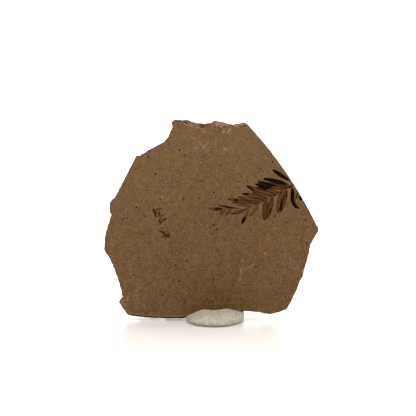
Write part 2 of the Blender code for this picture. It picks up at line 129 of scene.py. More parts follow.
# Marks are strokes: the points along each, as (across, up, width), and then its tones.
# Coaly matter left on the sprig: (stroke, darkness).
COAL = [
    ([(29.1, 69.8, 0.6), (29.9, 69.2, 1.3), (31.6, 68.0, 1.75), (33.3, 66.8, 1.55), (35.5, 65.4, 0.8)], 1.0),
    ([(34.0, 67.0, 0.7), (35.2, 66.1, 0.5)], 0.6),
    ([(24.9, 65.7, 0.7), (26.5, 65.4, 1.4), (28.9, 64.7, 1.8), (31.3, 64.2, 1.9), (33.3, 63.7, 1.5),
      (34.7, 63.2, 0.5)], 1.0),
    ([(22.1, 64.4, 0.45), (24.1, 64.0, 1.0), (26.5, 63.3, 1.3), (29.2, 62.6, 1.0), (30.6, 62.5, 0.4)], 1.0),
    ([(20.9, 63.1, 0.45), (22.4, 62.5, 1.4), (24.1, 61.8, 1.7), (25.5, 61.3, 1.8), (26.9, 61.8, 1.6),
      (28.6, 62.5, 0.7)], 1.0), ([(22.6, 63.2, 0.8), (24.3, 62.9, 0.6)], 0.95),
    ([(25.9, 62.6, 0.8), (27.2, 62.4, 0.6)], 0.95), ([(24.6, 62.9, 0.4), (25.6, 62.5, 0.5)], 0.75),
    ([(27.9, 61.2, 0.8), (29.9, 61.4, 0.5)], 0.45), ([(31.6, 62.6, 0.5), (35.2, 62.4, 0.4)], 0.6),
    ([(16.8, 62.4, 0.4), (17.65, 61.8, 0.95), (19.0, 60.75, 0.9), (20.5, 59.65, 0.35)], 1.0),
    ([(14.75, 58.75, 0.35), (15.8, 58.5, 0.9), (16.6, 58.4, 1.15), (17.3, 58.85, 0.5)], 1.0),
    ([(11.0, 55.7, 0.6), (12.5, 55.7, 0.85)], 0.95), ([(8.4, 56.1, 0.5), (8.5, 56.1, 0.5)], 0.6),
    ([(3.3, 53.5, 0.35), (6.1, 52.8, 0.4)], 0.6),
    ([(6.1, 52.8, 0.45), (7.8, 52.45, 0.7), (9.8, 52.2, 0.4)], 0.9),
    ([(9.8, 52.2, 0.35), (13.4, 51.6, 0.3)], 0.5), ([(2.4, 54.2, 0.5), (2.6, 54.2, 0.5)], 0.4),
    ([(2.3, 51.4, 0.75), (4.7, 51.65, 0.8)], 1.0), ([(36.8, 61.95, 1.0), (37.0, 61.95, 1.0)], 1.0),
    ([(34.3, 61.3, 0.45), (36.8, 61.9, 0.7)], 0.85), ([(37.4, 61.8, 0.8), (37.9, 60.8, 1.2)], 0.6),
    ([(29.8, 58.0, 0.9), (30.0, 58.0, 0.9)], 0.8),
    ([(37.9, 60.75, 1.2), (38.1, 58.7, 1.7), (37.95, 55.95, 1.6), (38.6, 53.9, 1.4), (39.45, 52.5, 0.9),
      (41.15, 51.75, 0.3)], 1.0), ([(40.3, 58.85, 0.6), (39.95, 57.3, 0.6), (39.3, 55.8, 0.35)], 0.85),
    ([(41.3, 57.2, 0.9), (42.1, 56.2, 1.3)], 1.0),
    ([(32.6, 58.5, 0.45), (33.3, 59.4, 0.55), (34.2, 59.7, 0.45)], 0.8),
    ([(33.8, 58.3, 0.45), (33.3, 55.3, 0.75), (32.8, 53.2, 0.95), (32.8, 51.4, 0.7)], 0.95),
    ([(35.5, 59.7, 0.4), (35.2, 58.0, 0.5), (34.8, 56.6, 0.4)], 0.8),
    ([(31.3, 49.7, 0.5), (31.7, 49.5, 0.5)], 0.4), ([(27.9, 51.2, 0.75), (27.5, 49.6, 0.7)], 0.9),
    ([(15.9, 47.7, 0.8), (15.2, 46.3, 1.4), (14.7, 45.1, 1.0)], 1.0),
    ([(16.6, 51.6, 0.4), (13.7, 50.3, 0.4), (11.8, 49.3, 0.45), (9.8, 49.1, 0.4)], 0.6),
    ([(18.0, 48.3, 0.6), (18.2, 48.3, 0.6)], 0.5), ([(2.5, 58.6, 0.5), (2.4, 57.3, 0.4)], 0.35),
]
COAL_SPREAD = 0.06

# Rusty scraps of plant on the left: (stroke, darkness, how black).
RUST = [
    ([(-26.85, 51.4, 0.7), (-26.15, 50.0, 1.3), (-25.85, 48.9, 1.0), (-25.55, 48.0, 0.6)], 0.9, 0.1),
    ([(-25.35, 51.15, 0.7), (-23.95, 51.6, 0.8)], 0.7, 0.1),
    ([(-23.3, 51.75, 0.8), (-22.5, 51.8, 0.7)], 0.4, 0.0),
    ([(-24.35, 49.9, 0.9), (-24.1, 48.4, 0.8)], 0.9, 0.2),
    ([(-22.9, 48.5, 0.8), (-22.7, 48.5, 0.8)], 0.55, 0.4),
    ([(-21.4, 49.3, 0.7), (-21.2, 49.3, 0.7)], 0.5, 0.4),
    ([(-22.3, 46.3, 0.6), (-21.1, 46.9, 0.9)], 1.0, 1.0),
    ([(-22.3, 46.3, 0.6), (-22.8, 45.8, 0.4)], 0.7, 0.2),
    ([(-24.15, 45.8, 0.7), (-23.5, 45.2, 0.9)], 0.95, 0.6),
    ([(-23.55, 47.8, 0.5), (-23.55, 46.9, 0.5)], 0.6, 0.4),
    ([(-24.7, 44.5, 0.7), (-24.6, 44.5, 0.7)], 0.5, 0.2),
    ([(-21.5, 44.2, 0.7), (-21.3, 44.2, 0.7)], 0.4, 0.3),
    ([(-26.4, 46.0, 0.6), (-26.3, 46.0, 0.6)], 0.3, 0.3),
    ([(-22.9, 42.7, 1.1), (-22.2, 42.5, 1.1)], 0.4, 0.0),
    ([(-23.95, 41.1, 0.5), (-22.8, 40.8, 0.8), (-21.9, 40.0, 1.1), (-21.3, 39.3, 1.2),
      (-20.4, 39.0, 1.2), (-19.6, 38.6, 0.9)], 0.95, 0.1),
    ([(-19.6, 40.0, 0.8), (-19.5, 38.8, 0.8)], 0.7, 0.1),
    ([(-22.3, 38.7, 0.7), (-22.1, 38.7, 0.7)], 0.7, 0.2),
    ([(-24.8, 38.8, 0.7), (-24.7, 38.8, 0.7)], 0.45, 0.2),
    ([(-21.2, 37.7, 0.7), (-21.0, 37.7, 0.7)], 0.5, 0.2),
    ([(-24.7, 37.3, 0.6), (-24.5, 37.3, 0.6)], 0.3, 0.2),
    ([(-20.7, 40.9, 0.6), (-20.5, 40.9, 0.6)], 0.3, 0.2),
    ([(-20.4, 42.9, 0.6), (-20.2, 42.9, 0.6)], 0.3, 0.2),
    ([(-24.6, 42.0, 0.6), (-24.5, 42.0, 0.6)], 0.35, 0.2),
    ([(-28.7, 40.6, 0.6), (-28.6, 40.6, 0.6)], 0.3, 0.3),
    ([(-28.6, 51.8, 0.6), (-28.4, 51.8, 0.6)], 0.4, 0.2),
]

# Dark specks: (across, up, width, darkness).
SPECKS = [
    (-34.7, 52.3, 0.6, 0.8), (-33.6, 51.2, 0.5, 0.7), (-30.6, 48.0, 0.5, 0.6), (-23.6, 56.2, 0.6, 0.8),
    (-43.1, 51.0, 0.5, 0.5), (-40.9, 46.9, 0.5, 0.6), (-39.0, 47.2, 0.5, 0.5), (-33.7, 28.7, 0.6, 0.7),
    (-29.1, 75.9, 0.6, 0.7), (-20.9, 74.9, 0.5, 0.6), (-25.7, 68.0, 0.6, 0.7), (-32.9, 72.1, 0.5, 0.5),
    (-14.6, 79.2, 0.6, 0.8), (-12.4, 76.7, 0.5, 0.6), (-4.3, 64.9, 0.6, 0.8), (1.4, 59.2, 0.55, 0.7),
    (-5.4, 56.7, 0.5, 0.7), (-12.9, 56.3, 0.55, 0.7), (-16.6, 25.1, 0.6, 0.7), (-11.0, 27.2, 0.6, 0.8),
    (-12.0, 22.8, 0.5, 0.6), (-14.9, 17.5, 0.6, 0.8), (-22.9, 11.1, 0.6, 0.7), (-12.4, 7.6, 0.5, 0.6),
    (0.5, 7.7, 0.5, 0.6), (-1.9, 9.1, 0.5, 0.5), (3.4, 32.1, 0.6, 0.7), (2.7, 42.0, 0.7, 0.9),
    (1.2, 44.0, 0.6, 0.8), (1.1, 18.5, 0.6, 0.7), (-24.6, 6.0, 0.5, 0.6), (-19.0, 24.0, 0.5, 0.5),
    (17.4, 32.7, 0.5, 0.6), (20.9, 24.4, 0.6, 0.7), (29.9, 22.1, 0.6, 0.7), (15.4, 15.7, 0.6, 0.7),
    (10.6, 16.1, 0.5, 0.6), (28.0, 16.3, 0.6, 0.7), (7.7, 7.9, 0.5, 0.6), (44.7, 35.3, 0.7, 0.8),
    (35.7, 45.3, 0.6, 0.7), (44.2, 46.4, 0.6, 0.7), (16.9, 64.9, 0.5, 0.6), (23.2, 70.3, 0.6, 0.7),
    (14.4, 66.5, 0.5, 0.5), (12.8, 64.1, 0.5, 0.5), (28.7, 73.7, 0.6, 0.7), (4.5, 72.0, 0.6, 0.7),
    (30.0, 48.2, 0.6, 0.7), (22.0, 51.8, 0.5, 0.6), (-23.2, 13.8, 0.5, 0.4), (-16.1, 12.0, 0.5, 0.4),
    (-10.9, 15.1, 0.5, 0.4), (-8.5, 5.7, 0.5, 0.5), (-36.1, 18.1, 0.6, 0.35), (-39.6, 12.8, 0.6, 0.35),
    (-30.3, 2.2, 0.9, 0.5),
]

# Pale bruises and scratches: (stroke, paleness).
PALE = [
    ([(-5.6, 82.7, 0.7), (-4.0, 81.1, 0.5)], 0.5), ([(-3.5, 80.8, 0.8), (-1.2, 82.6, 0.5)], 0.6),
    ([(-7.8, 84.6, 0.9), (-7.4, 84.6, 0.8)], 0.35), ([(-7.2, 80.1, 1.0), (-6.6, 80.2, 0.9)], 0.4),
    ([(-3.6, 79.9, 0.9), (-3.2, 80.0, 0.8)], 0.4), ([(-1.7, 78.9, 0.9), (-1.3, 79.0, 0.8)], 0.3),
    ([(-3.7, 87.7, 1.2), (-3.2, 87.6, 1.0)], 0.3), ([(6.4, 79.6, 1.3), (7.0, 79.6, 1.0)], 0.5),
    ([(5.3, 77.7, 0.9), (5.7, 77.8, 0.8)], 0.3), ([(5.7, 87.6, 1.1), (6.2, 88.3, 0.9)], 0.8),
    ([(8.0, 87.4, 0.9), (8.9, 88.8, 1.0)], 0.8), ([(25.3, 30.6, 0.8), (25.4, 30.5, 0.8)], 0.9),
    ([(13.9, 23.6, 0.6), (14.3, 21.6, 0.7)], 0.55), ([(14.0, 20.9, 0.45), (13.6, 17.5, 0.4)], 0.6),
    ([(14.5, 27.2, 0.8), (15.9, 26.6, 0.7)], 0.35),
    ([(17.3, 23.8, 0.6), (19.0, 24.7, 0.8), (20.1, 25.7, 0.6)], 0.4),
    ([(37.2, 28.7, 0.7), (37.4, 26.6, 0.5)], 0.35), ([(43.1, 23.0, 0.8), (42.8, 21.4, 0.6)], 0.4),
    ([(-23.3, 56.8, 0.6), (-22.4, 57.1, 0.4)], 0.5), ([(-31.1, 14.1, 0.7), (-30.9, 14.1, 0.7)], 0.6),
    ([(-33.7, 14.7, 0.5), (-32.5, 14.3, 0.5)], 0.35), ([(-34.8, 13.1, 1.0), (-34.5, 12.9, 0.8)], 0.3),
    ([(-36.7, 10.2, 0.4), (-34.5, 11.4, 0.4)], 0.5), ([(-30.6, 10.2, 0.7), (-30.4, 10.2, 0.7)], 0.4),
    ([(-38.9, 10.1, 0.9), (-39.1, 8.7, 0.8)], 0.5), ([(-42.1, 7.6, 0.9), (-40.9, 8.4, 0.7)], 0.4),
    ([(-40.9, 6.9, 0.9), (-39.8, 6.0, 0.7)], 0.4), ([(-33.7, 7.2, 1.0), (-33.4, 7.2, 0.9)], 0.35),
    ([(-34.9, 5.5, 0.5), (-35.0, 4.1, 0.4)], 0.45), ([(-31.5, 6.7, 0.5), (-30.9, 4.5, 0.4)], 0.35),
    ([(-19.4, 3.2, 0.8), (-19.2, 3.2, 0.7)], 0.35),
]

# Streaks of the layers that the chipped top edge shows: (stroke, paleness, or darkness below 0).
# The layers dip to the back, so a streak at the face runs lower the deeper it lies.
STREAKS = [
    ([(-12.5, 91.6, 0.4), (-11.0, 90.9, 0.45), (-9.6, 90.8, 0.5), (-7.6, 89.9, 0.5), (-5.4, 89.6, 0.6),
      (-4.3, 89.0, 0.4)], 0.85),
    ([(-11.0, 91.8, 0.3), (-9.9, 91.7, 0.4), (-8.8, 91.2, 0.4), (-6.9, 90.7, 0.4), (-5.9, 90.5, 0.3)], 0.75),
    ([(-11.9, 92.7, 0.3), (-10.1, 92.3, 0.5), (-7.4, 91.3, 0.5), (-5.4, 90.8, 0.3)], 0.45),
    ([(-12.1, 92.1, 0.5), (-11.2, 92.0, 0.5)], -0.9), ([(-10.7, 91.2, 0.45), (-9.8, 91.3, 0.4)], -0.8),
    ([(-9.4, 91.15, 0.35), (-8.2, 90.65, 0.4), (-6.4, 90.3, 0.35)], -0.8),
    ([(-4.8, 89.9, 0.6), (-3.5, 90.0, 0.7)], -0.8), ([(-4.5, 90.6, 0.5), (-3.2, 90.7, 0.5)], -0.6),
    ([(-3.5, 89.2, 0.6), (-3.2, 89.1, 0.5)], 0.6),
    ([(1.3, 91.9, 0.6), (3.3, 91.8, 0.9), (5.2, 91.6, 0.9), (7.2, 91.2, 0.8), (8.9, 90.9, 0.4)], 0.95),
    ([(2.3, 90.7, 0.7), (2.8, 90.5, 0.7)], 1.0), ([(3.8, 90.3, 0.5), (5.0, 90.0, 0.5)], 1.0),
    ([(1.4, 90.9, 0.5), (1.7, 90.6, 0.5)], -0.6), ([(6.0, 90.2, 0.6), (6.6, 90.0, 0.5)], -0.6),
    ([(3.1, 89.8, 0.5), (4.0, 89.7, 0.5)], -0.5), ([(0.2, 90.6, 0.6), (0.9, 90.2, 0.5)], 0.6),
    ([(10.7, 90.5, 0.6), (12.5, 90.8, 0.7), (14.5, 91.2, 0.6), (15.5, 91.2, 0.4)], 0.95),
    ([(12.3, 90.1, 0.5), (12.8, 89.4, 0.4)], 0.5), ([(15.5, 89.7, 0.6), (15.7, 89.7, 0.5)], 0.5),
    ([(13.6, 90.1, 0.4), (16.4, 90.0, 0.5)], -0.5), ([(-16.6, 91.0, 0.5), (-16.2, 88.6, 0.4)], 0.35),
]
STREAK_DIP = 0.325
STREAK_DEPTH = 4.0

# Putty
PUTTY_HEIGHT = 5.3
PUTTY_CENTRE = 1.7
PUTTY_LEFT = 13.6
PUTTY_RIGHT = 14.0
PUTTY_FRONT = 16.5
PUTTY_BACK = 17.0
PUTTY_WAIST = 0.3
PUTTY_FOOT = 0.9
BLUNT_LEFT = 1.75
BLUNT_RIGHT = 3.95
FINGER_DENT = 0.35
PUTTY_AROUND = 260
PUTTY_ROWS = 46

# Mesh
RIM_STEP = 0.45
CHIPPED_RIM_STEP = 0.25
FINE_ROW_STEPS = [0.2] * 13
ROW_STEPS = [0.4] * 11
FACE_STEP = 0.52
SPRIG_STEP = 0.25
CHIP_STEP = 0.2
BACK_STEP = 1.1
NOWHERE = 2.0  # the distance kept where no mark is near
FAR = 1e9  # farther than any point

# Room on the square map, in pixels: scale for each millimetre, and the corner where each part starts.
MAP_SIZE = 1024.0
FRONT_SCALE = 7.95
FRONT_CORNER = (4.0, 272.0)
BACK_SCALE = 2.7
BACK_CORNER = (6.0, 6.0)
RIM_SCALE = 7.0
RIM_CORNER = (822.0, 6.0)
RIM_DEPTH = 8.6
RIM_LANES = 3
LANE_WIDTH = 66.0

# Stone colours
STONE = (0.118, 0.0620, 0.0235)
STONE_LIGHT = (0.228, 0.146, 0.086)
STONE_DARK = (0.050, 0.0220, 0.0035)
STONE_PINK = (0.135, 0.074, 0.0340)
# Painted shade by the putty, darker and yellower, also used for a warmer tone in the middle of the face.
STONE_WARM_SHADE = (0.088, 0.040, 0.0075)
# Painted sheen: the paler, greyer tone laid over the upper and left part of the face.
STONE_SHEEN = (0.160, 0.093, 0.0440)
STONE_OLIVE = (0.132, 0.0820, 0.0360)
STONE_RED = (0.138, 0.0670, 0.0290)
STONE_BLUSH = (0.27, 0.185, 0.135)
# Painted shade along the rim of the face.
STONE_RIM_SHADE = (0.038, 0.022, 0.007)
BACK_STAIN = (0.150, 0.083, 0.034)
# Painted highlight strip and painted shadow line along the lower left edge.
LOW_EDGE_HIGHLIGHT = (0.185, 0.140, 0.075)
LOW_EDGE_SHADOW = (0.034, 0.026, 0.005)
CHIP_LIGHT = (0.215, 0.118, 0.063)
CHIP_DARK = (0.120, 0.063, 0.027)
STREAK_LIGHT = (0.320, 0.188, 0.116)
STREAK_DARK = (0.052, 0.0240, 0.0080)
LEAF_BROWN = (0.074, 0.0180, 0.0008)
LEAF_LINE = (0.022, 0.0042, 0.0005)
COAL_BLACK = (0.003, 0.0016, 0.0012)
RUST_BROWN = (0.078, 0.0205, 0.0010)
RUST_DARK = (0.034, 0.0085, 0.0008)
SPECK_BROWN = (0.020, 0.0085, 0.003)
PALE_MARK = (0.290, 0.200, 0.145)

# Putty colours; the low, top and shade tones are painted shade and painted light
PUTTY_GREY = (0.50, 0.43, 0.335)
PUTTY_PALE = (0.55, 0.49, 0.395)
PUTTY_LOW_SHADE = (0.31, 0.285, 0.245)
PUTTY_TOP_LIGHT = (0.62, 0.53, 0.43)
PUTTY_SHADE = (0.15, 0.15, 0.14)
PUTTY_GREEN = (0.43, 0.43, 0.33)
PUTTY_PINK = (0.52, 0.42, 0.36)
GRIT_DARK = (0.26, 0.23, 0.18)
GRIT_LIGHT = (0.74, 0.68, 0.60)

# Table, camera and light
TABLE_HALF = 6.0
TABLE_WHITE = (0.880, 0.842, 0.785)
TABLE_PALE = (0.900, 0.862, 0.805)
CAMERA_DISTANCE = 1.0766
CAMERA_HEIGHT = math.radians(12.0)
CAMERA_LENS = 200.0
CAMERA_AIM = (-0.0015, 0.0, 0.0532)
ROOM_LIGHT = 1.13
# Far lights: (name, where it comes from, spread in degrees, power, colour).
PANELS = [
    ("panel_above", (0.22, 0.50, 0.84), 70.0, 1.2, (1.0, 0.99, 0.98)),
    ("backdrop_glow", (0.05, 0.975, 0.216), 13.0, 5.8, (1.0, 1.0, 1.0)),
]


def wander(where, lane):
    """A smooth value between -1 and 1 that changes along a line; each lane is its own pattern."""
    return noise.noise(Vector((where, 3.7 * lane + 0.31, 1.3)))


def wander_all(alongs, wave, lane):
    """The wander at every place along the rim."""
    return np.array([wander(along * wave, lane) for along in alongs])


def noise_at(spots, scale, lane):
    """Smooth noise in -1..1 at each spot."""
    return np.array([noise.noise(Vector((x * scale, z * scale, 7.3 * lane))) for x, z in spots])


def face_wave(spots):
    """How far the split face lies behind its mean plane; it is flat where the putty grips it."""
    wave = np.array([noise.noise(Vector((x / 17.0, z / 14.0, 4.2))) for x, z in spots])
    return FACE_WAVE * np.clip((spots[:, 1] - 7.0) / 8.0, 0.0, 1.0) * wave


def ramp(value, low, high):
    """0 below low, 1 above high, and a smooth rise between."""
    share = np.clip((value - low) / (high - low), 0.0, 1.0)
    return share * share * (3 - 2 * share)


def from_plate(points):
    """Row-frame metres of plate points: an array of (across, depth, up) in millimetres."""
    across, depth, up = points.T
    y = up * math.sin(PLATE_LEAN) + (depth - PLATE_THICKNESS / 2) * math.cos(PLATE_LEAN) + SHIFT_BACK
    z = PLATE_LIFT + up * math.cos(PLATE_LEAN) - depth * math.sin(PLATE_LEAN)
    return np.stack([across + SHIFT_ACROSS, y, z], axis=1) * MM


def rim_outline():
    """Points of the outline with their outward normals and their distance along it."""
    points = []
    alongs = []
    travelled = 0.0
    for number, (x, z, bulge, rough) in enumerate(RIM):
        next_x, next_z = RIM[(number + 1) % len(RIM)][:2]
        length = math.hypot(next_x - x, next_z - z)
        outward = np.array(((z - next_z) / length, (next_x - x) / length))
        middle = ((x + next_x) / 2, (z + next_z) / 2)
        chipped = any(math.dist(middle, chip[:2]) < chip[3] + length / 2 for chip in CHIPS)
        pieces = max(2, round(length / (CHIPPED_RIM_STEP if chipped and length < 16 else RIM_STEP)))
        for piece in range(pieces):
            share = piece / pieces
            along = travelled + length * share
            broken = sum(s * wander(along * wave, lane) for lane, (wave, s) in enumerate(RIM_WAVES, 1))
            ease = min(1.0, 4 * share * (1 - share) + 0.2)
            offset = 4 * bulge * share * (1 - share) + RIM_ROUGHNESS * rough * broken * ease * (piece > 0)
            base = np.array((x + (next_x - x) * share, z + (next_z - z) * share))
            points.append(base + outward * offset)
            alongs.append(along)
        travelled += length
    points = np.array(points)
    tangent = np.roll(points, -1, axis=0) - np.roll(points, 1, axis=0)
    normal = np.stack([-tangent[:, 1], tangent[:, 0]], axis=1)
    normal /= np.linalg.norm(normal, axis=1)[:, None]
    smooth = sum(np.roll(normal, shift, axis=0) * (7 - abs(shift)) for shift in range(-6, 7))
    smooth /= np.linalg.norm(smooth, axis=1)[:, None]
    return points, smooth, np.array(alongs)


def from_segment(spots, start, end):
    """How far along a segment the nearest point to each spot lies, as a share, and the step from it."""
    span = end - start
    share = np.clip(((spots - start) @ span) / max(span @ span, 1e-12), 0.0, 1.0)
    return share, spots - (start + share[:, None] * span)


def line_distance(spots, line, widths):
    """Distance of each spot to a line of varying width, negative inside, and its signed offset."""
    best = np.full(len(spots), FAR)
    across = np.zeros(len(spots))
    line = np.array(line, float)
    for start, end, width, next_width in zip(line, line[1:], widths, widths[1:]):
        share, away = from_segment(spots, start, end)
        length = np.hypot(*away.T)
        gap = length - 0.5 * (width + (next_width - width) * share)
        closer = gap < best
        best = np.where(closer, gap, best)
        span = end - start
        side = np.sign(span[0] * away[:, 1] - span[1] * away[:, 0])
        across = np.where(closer, length * side, across)
    return best, across


def stroke_distance(spots, stroke):
    """Distance of each spot to a stroke of (across, up, width) points, negative inside."""
    stroke = np.array(stroke)
    return line_distance(spots, stroke[:, :2], stroke[:, 2])[0]


def closed_distance(spots, outline):
    """Distance of each spot to a closed outline."""
    best = np.full(len(spots), FAR)
    for start, end in zip(outline, np.roll(outline, -1, axis=0)):
        best = np.minimum(best, np.hypot(*from_segment(spots, start, end)[1].T))
    return best


def inside(spots, outline):
    """Whether each spot lies inside a closed outline."""
    result = np.zeros(len(spots), bool)
    for a, b in zip(outline, np.roll(outline, 1, axis=0)):
        rise = b[1] - a[1]
        if rise != 0.0:
            x = a[0] + (spots[:, 1] - a[1]) * (b[0] - a[0]) / rise
            crosses = (a[1] > spots[:, 1]) != (b[1] > spots[:, 1])
            result ^= crosses & (spots[:, 0] < x)
    return result


def leaflet_line(base, tip, bend):
    """A leaflet's centreline and its widths as shares of the full width."""
    base = np.array(base)
    along = np.array(tip) - base
    side = np.array((-along[1], along[0])) / np.hypot(*along)
    shares = np.linspace(0.0, 1.0, 13)
    line = [base + along * s + side * 4 * bend * s * (1 - s) for s in shares]
    full = np.array([max(0.12, math.sin(math.pi * (0.05 + 0.9 * s)) ** 0.55) for s in shares])
    return line, full


def keep_nearest(fields, name, distance, **tones):
    """Takes over a mark's distance and tones wherever it is the nearest of its kind."""
    closer = distance < fields[name]
    fields[name] = np.where(closer, distance, fields[name])
    for tone, value in tones.items():
        fields[tone] = np.where(closer, value, fields[tone])


def marks(spots):
    """Fields of every marking on the face, one value for each spot."""
    fields = {"rust_black": np.zeros(len(spots)), "rib": np.full(len(spots), NOWHERE)}
    for name in ("film", "vein", "coal", "rust", "speck", "pale", "streak"):
        fields[name] = np.full(len(spots), NOWHERE)
        fields[name + "_tone"] = np.zeros(len(spots))
    for x, z, tip_x, tip_z, width, bend, brown, dark in LEAFLETS:
        line, full = leaflet_line((x, z), (tip_x, tip_z), bend)
        distance, across = line_distance(spots, line, width * full)
        rib = across if width > RIBBED_WIDTH else 1.0
        keep_nearest(fields, "film", distance, film_tone=brown, rib=rib)
        keep_nearest(fields, "vein", np.abs(distance + VEIN_INSET), vein_tone=dark)
    distance = line_distance(spots, STEM, np.linspace(*STEM_WIDTHS, len(STEM)))[0]
    on_stem = distance < -0.05
    stem_tone = 0.2 + 0.5 * ramp(spots[:, 0], 27.0, 33.0)
    fields["film_tone"] = np.where(on_stem, stem_tone, fields["film_tone"])
    fields["vein"] = np.where(on_stem, np.maximum(fields["vein"], 0.2), fields["vein"])
    keep_nearest(fields, "film", distance, film_tone=stem_tone, rib=1.0)
    for stroke, dark in COAL:
        keep_nearest(fields, "coal", stroke_distance(spots, stroke) - COAL_SPREAD, coal_tone=dark)
    for stroke, dark, black in RUST:
        keep_nearest(fields, "rust", stroke_distance(spots, stroke), rust_tone=dark, rust_black=black)
    for x, z, width, dark in SPECKS:
        keep_nearest(fields, "speck", np.hypot(*(spots - (x, z)).T) - width / 2, speck_tone=dark)
    for stroke, light in PALE:
        keep_nearest(fields, "pale", stroke_distance(spots, stroke), pale_tone=light)
    return fields


def lattice(step, seed):
    """Slightly shaken triangular lattice over the plate."""
    rng = np.random.default_rng(seed)
    rows = int(98 / (step * 0.866))
    columns = int(104 / step)
    column, row = np.meshgrid(np.arange(columns), np.arange(rows))
    x = -52 + (column + 0.5 * (row % 2)) * step
    z = -1 + row * step * 0.866
    spots = np.stack([x.ravel(), z.ravel()], axis=1)
    return spots + rng.uniform(-0.12, 0.12, spots.shape) * step


def speck_points():
    """Extra mesh points in and round each speck so that it stays crisp."""
    spots = []
    for x, z, width, _ in SPECKS:
        spots.append((x, z))
        for ring in (0.6, 1.4):
            for step in range(6):
                spin = math.pi / 3 * (step + ring)
                reach = width * 0.5 * ring
                spots.append((x + reach * math.cos(spin), z + reach * math.sin(spin)))
    return np.array(spots)


def in_chip(points, chip):
    """Places in a chip's own turned axes (along, over), as shares of its half sizes."""
    across, up, _, half_width, half_height, _, turn = chip
    angle = math.radians(turn)
    x = points[:, 0] - across
    z = points[:, -1] - up
    along = (x * math.cos(angle) + z * math.sin(angle)) / half_width
    over = (-x * math.sin(angle) + z * math.cos(angle)) / half_height
    return along, over


def chip_distance(spots):
    """How far each spot on the face lies outside the nearest chip, as a share of the chip's size."""
    return np.minimum.reduce([np.hypot(*in_chip(spots, chip)) - 1 for chip in CHIPS])


def fill(ring, groups):
    """Inner points and triangles that fill a ring; indices count ring points first."""
    spots = np.concatenate(groups)
    spots = spots[inside(spots, ring)]
    spots = spots[closed_distance(spots, ring) > 0.16]
    corners = [Vector(corner) for corner in np.concatenate([ring, spots])]
    made = delaunay_2d_cdt(corners, [], [list(range(len(ring)))], 1, 1e-7)
    index_of = [origins[0] for origins in made[3]]
    return spots, [[index_of[corner] for corner in face] for face in made[2]]


def ragged(outline, lane):
    """An outline with the wander of a break along its sides."""
    points = []
    for number, corner in enumerate(outline):
        start = np.array(corner, float)
        end = np.array(outline[(number + 1) % len(outline)], float)
        length = np.hypot(*(end - start))
        side = np.array((start[1] - end[1], end[0] - start[0])) / length
        pieces = max(1, round(length / 1.2))
        for piece in range(pieces):
            share = piece / pieces
            where = number * 7.7 + share * length * 0.23
            offset = 1.6 * wander(where, lane) + 0.5 * wander(where * 3.1, lane + 1)
            points.append(start + (end - start) * share + side * offset * (piece > 0))
    return np.array(points)


def local_thickness(spots):
    """Thickness left at each spot after the splits at the back."""
    thick = np.full(len(spots), PLATE_THICKNESS)
    for number, (depth, outline) in enumerate(BACK_SPLITS):
        edge = ragged(outline, 31 + number)
        signed = closed_distance(spots, edge) * np.where(inside(spots, edge), 1.0, -1.0)
        thick = np.minimum(thick, PLATE_THICKNESS - (PLATE_THICKNESS - depth) * ramp(signed, -0.25, 0.25))
    return thick


def strike_chips(points):
    """Pushes points in a chip's scoop to its surface, stepped along the layers; returns how pale each is
    painted, for fresh stone and, on the upward top chips, painted light.
    """
    fresh_and_lit = np.zeros(len(points))
    for number, chip in enumerate(CHIPS):
        across, up, depth, half_width, half_height, half_depth, turn = chip
        angle = math.radians(turn)
        along, over = in_chip(points, chip)
        back = (points[:, 1] - depth) / half_depth
        reach = np.sqrt(along ** 2 + over ** 2 + back ** 2)
        for index in np.nonzero(reach < 1.5)[0]:
            direction = Vector((along[index], over[index], back[index])) / max(reach[index], 1e-3)
            edge = 1 + 0.16 * noise.noise(direction * 2.3 + Vector((number * 5.1, 0, 0)))
            edge += 0.09 * noise.noise(direction * 6.0 + Vector((0, number * 3.3, 0)))
            if reach[index] < edge:
                x = direction[0] * edge * half_width
                z = direction[1] * edge * half_height
                level = (depth + direction[2] * edge * half_depth) / LAYER_STEP
                share = (level + 0.5 * noise.noise(Vector((x * 0.5, z * 0.5, 2.2 + number)))) % 1.0
                ledge = share - share * share * (3 - 2 * share)
                points[index, 0] = across + x * math.cos(angle) - z * math.sin(angle)
                points[index, 2] = up + x * math.sin(angle) + z * math.cos(angle)
                points[index, 1] = max(0.0, (level - LAYER_LEDGE * ledge) * LAYER_STEP)
                # The top chips face upward and are painted fully pale, partly as painted light; the others
                # only a little.
                fresh_and_lit[index] = 1.0 if number < TOP_CHIPS else 0.3
    return fresh_and_lit


def loose_rim(outline):
    """1 where the rim stands free, 0 where the putty grips it."""
    return np.where((outline[:, 1] < 6.0) & (np.abs(outline[:, 0]) < 20.0), 0.0, 1.0)


def setback(depth, along, loose):
    """How far the break stands back behind the outline at a depth, along the whole rim."""
    total = np.zeros(len(along))
    start = 0.0
    for bed, (end, mean, swing) in enumerate(BEDS):
        here = 1.0
        if bed > 0:
            seam = start + SEAM_WANDER * wander_all(along, 0.15, 20 + bed) * loose
            here = ramp(depth, seam - 0.12, seam + 0.16)
        if bed < len(BEDS) - 1:
            seam = end + SEAM_WANDER * wander_all(along, 0.15, 21 + bed) * loose
            here = here * (1 - ramp(depth, seam - 0.12, seam + 0.16))
        broken = wander_all(along, 0.115, 5 + bed) + 0.7 * wander_all(along, 0.36, 8 + bed)
        hollow = 0.5 + 0.8 * wander_all(along, 0.22, 15 + bed)
        bow = np.clip(4 * (depth - start) * (end - depth) / (end - start) ** 2, 0, 1)
        total += here * (mean + loose * (swing * broken + BED_HOLLOW * hollow * bow))
        start = end
    return np.maximum(total, 0.0)


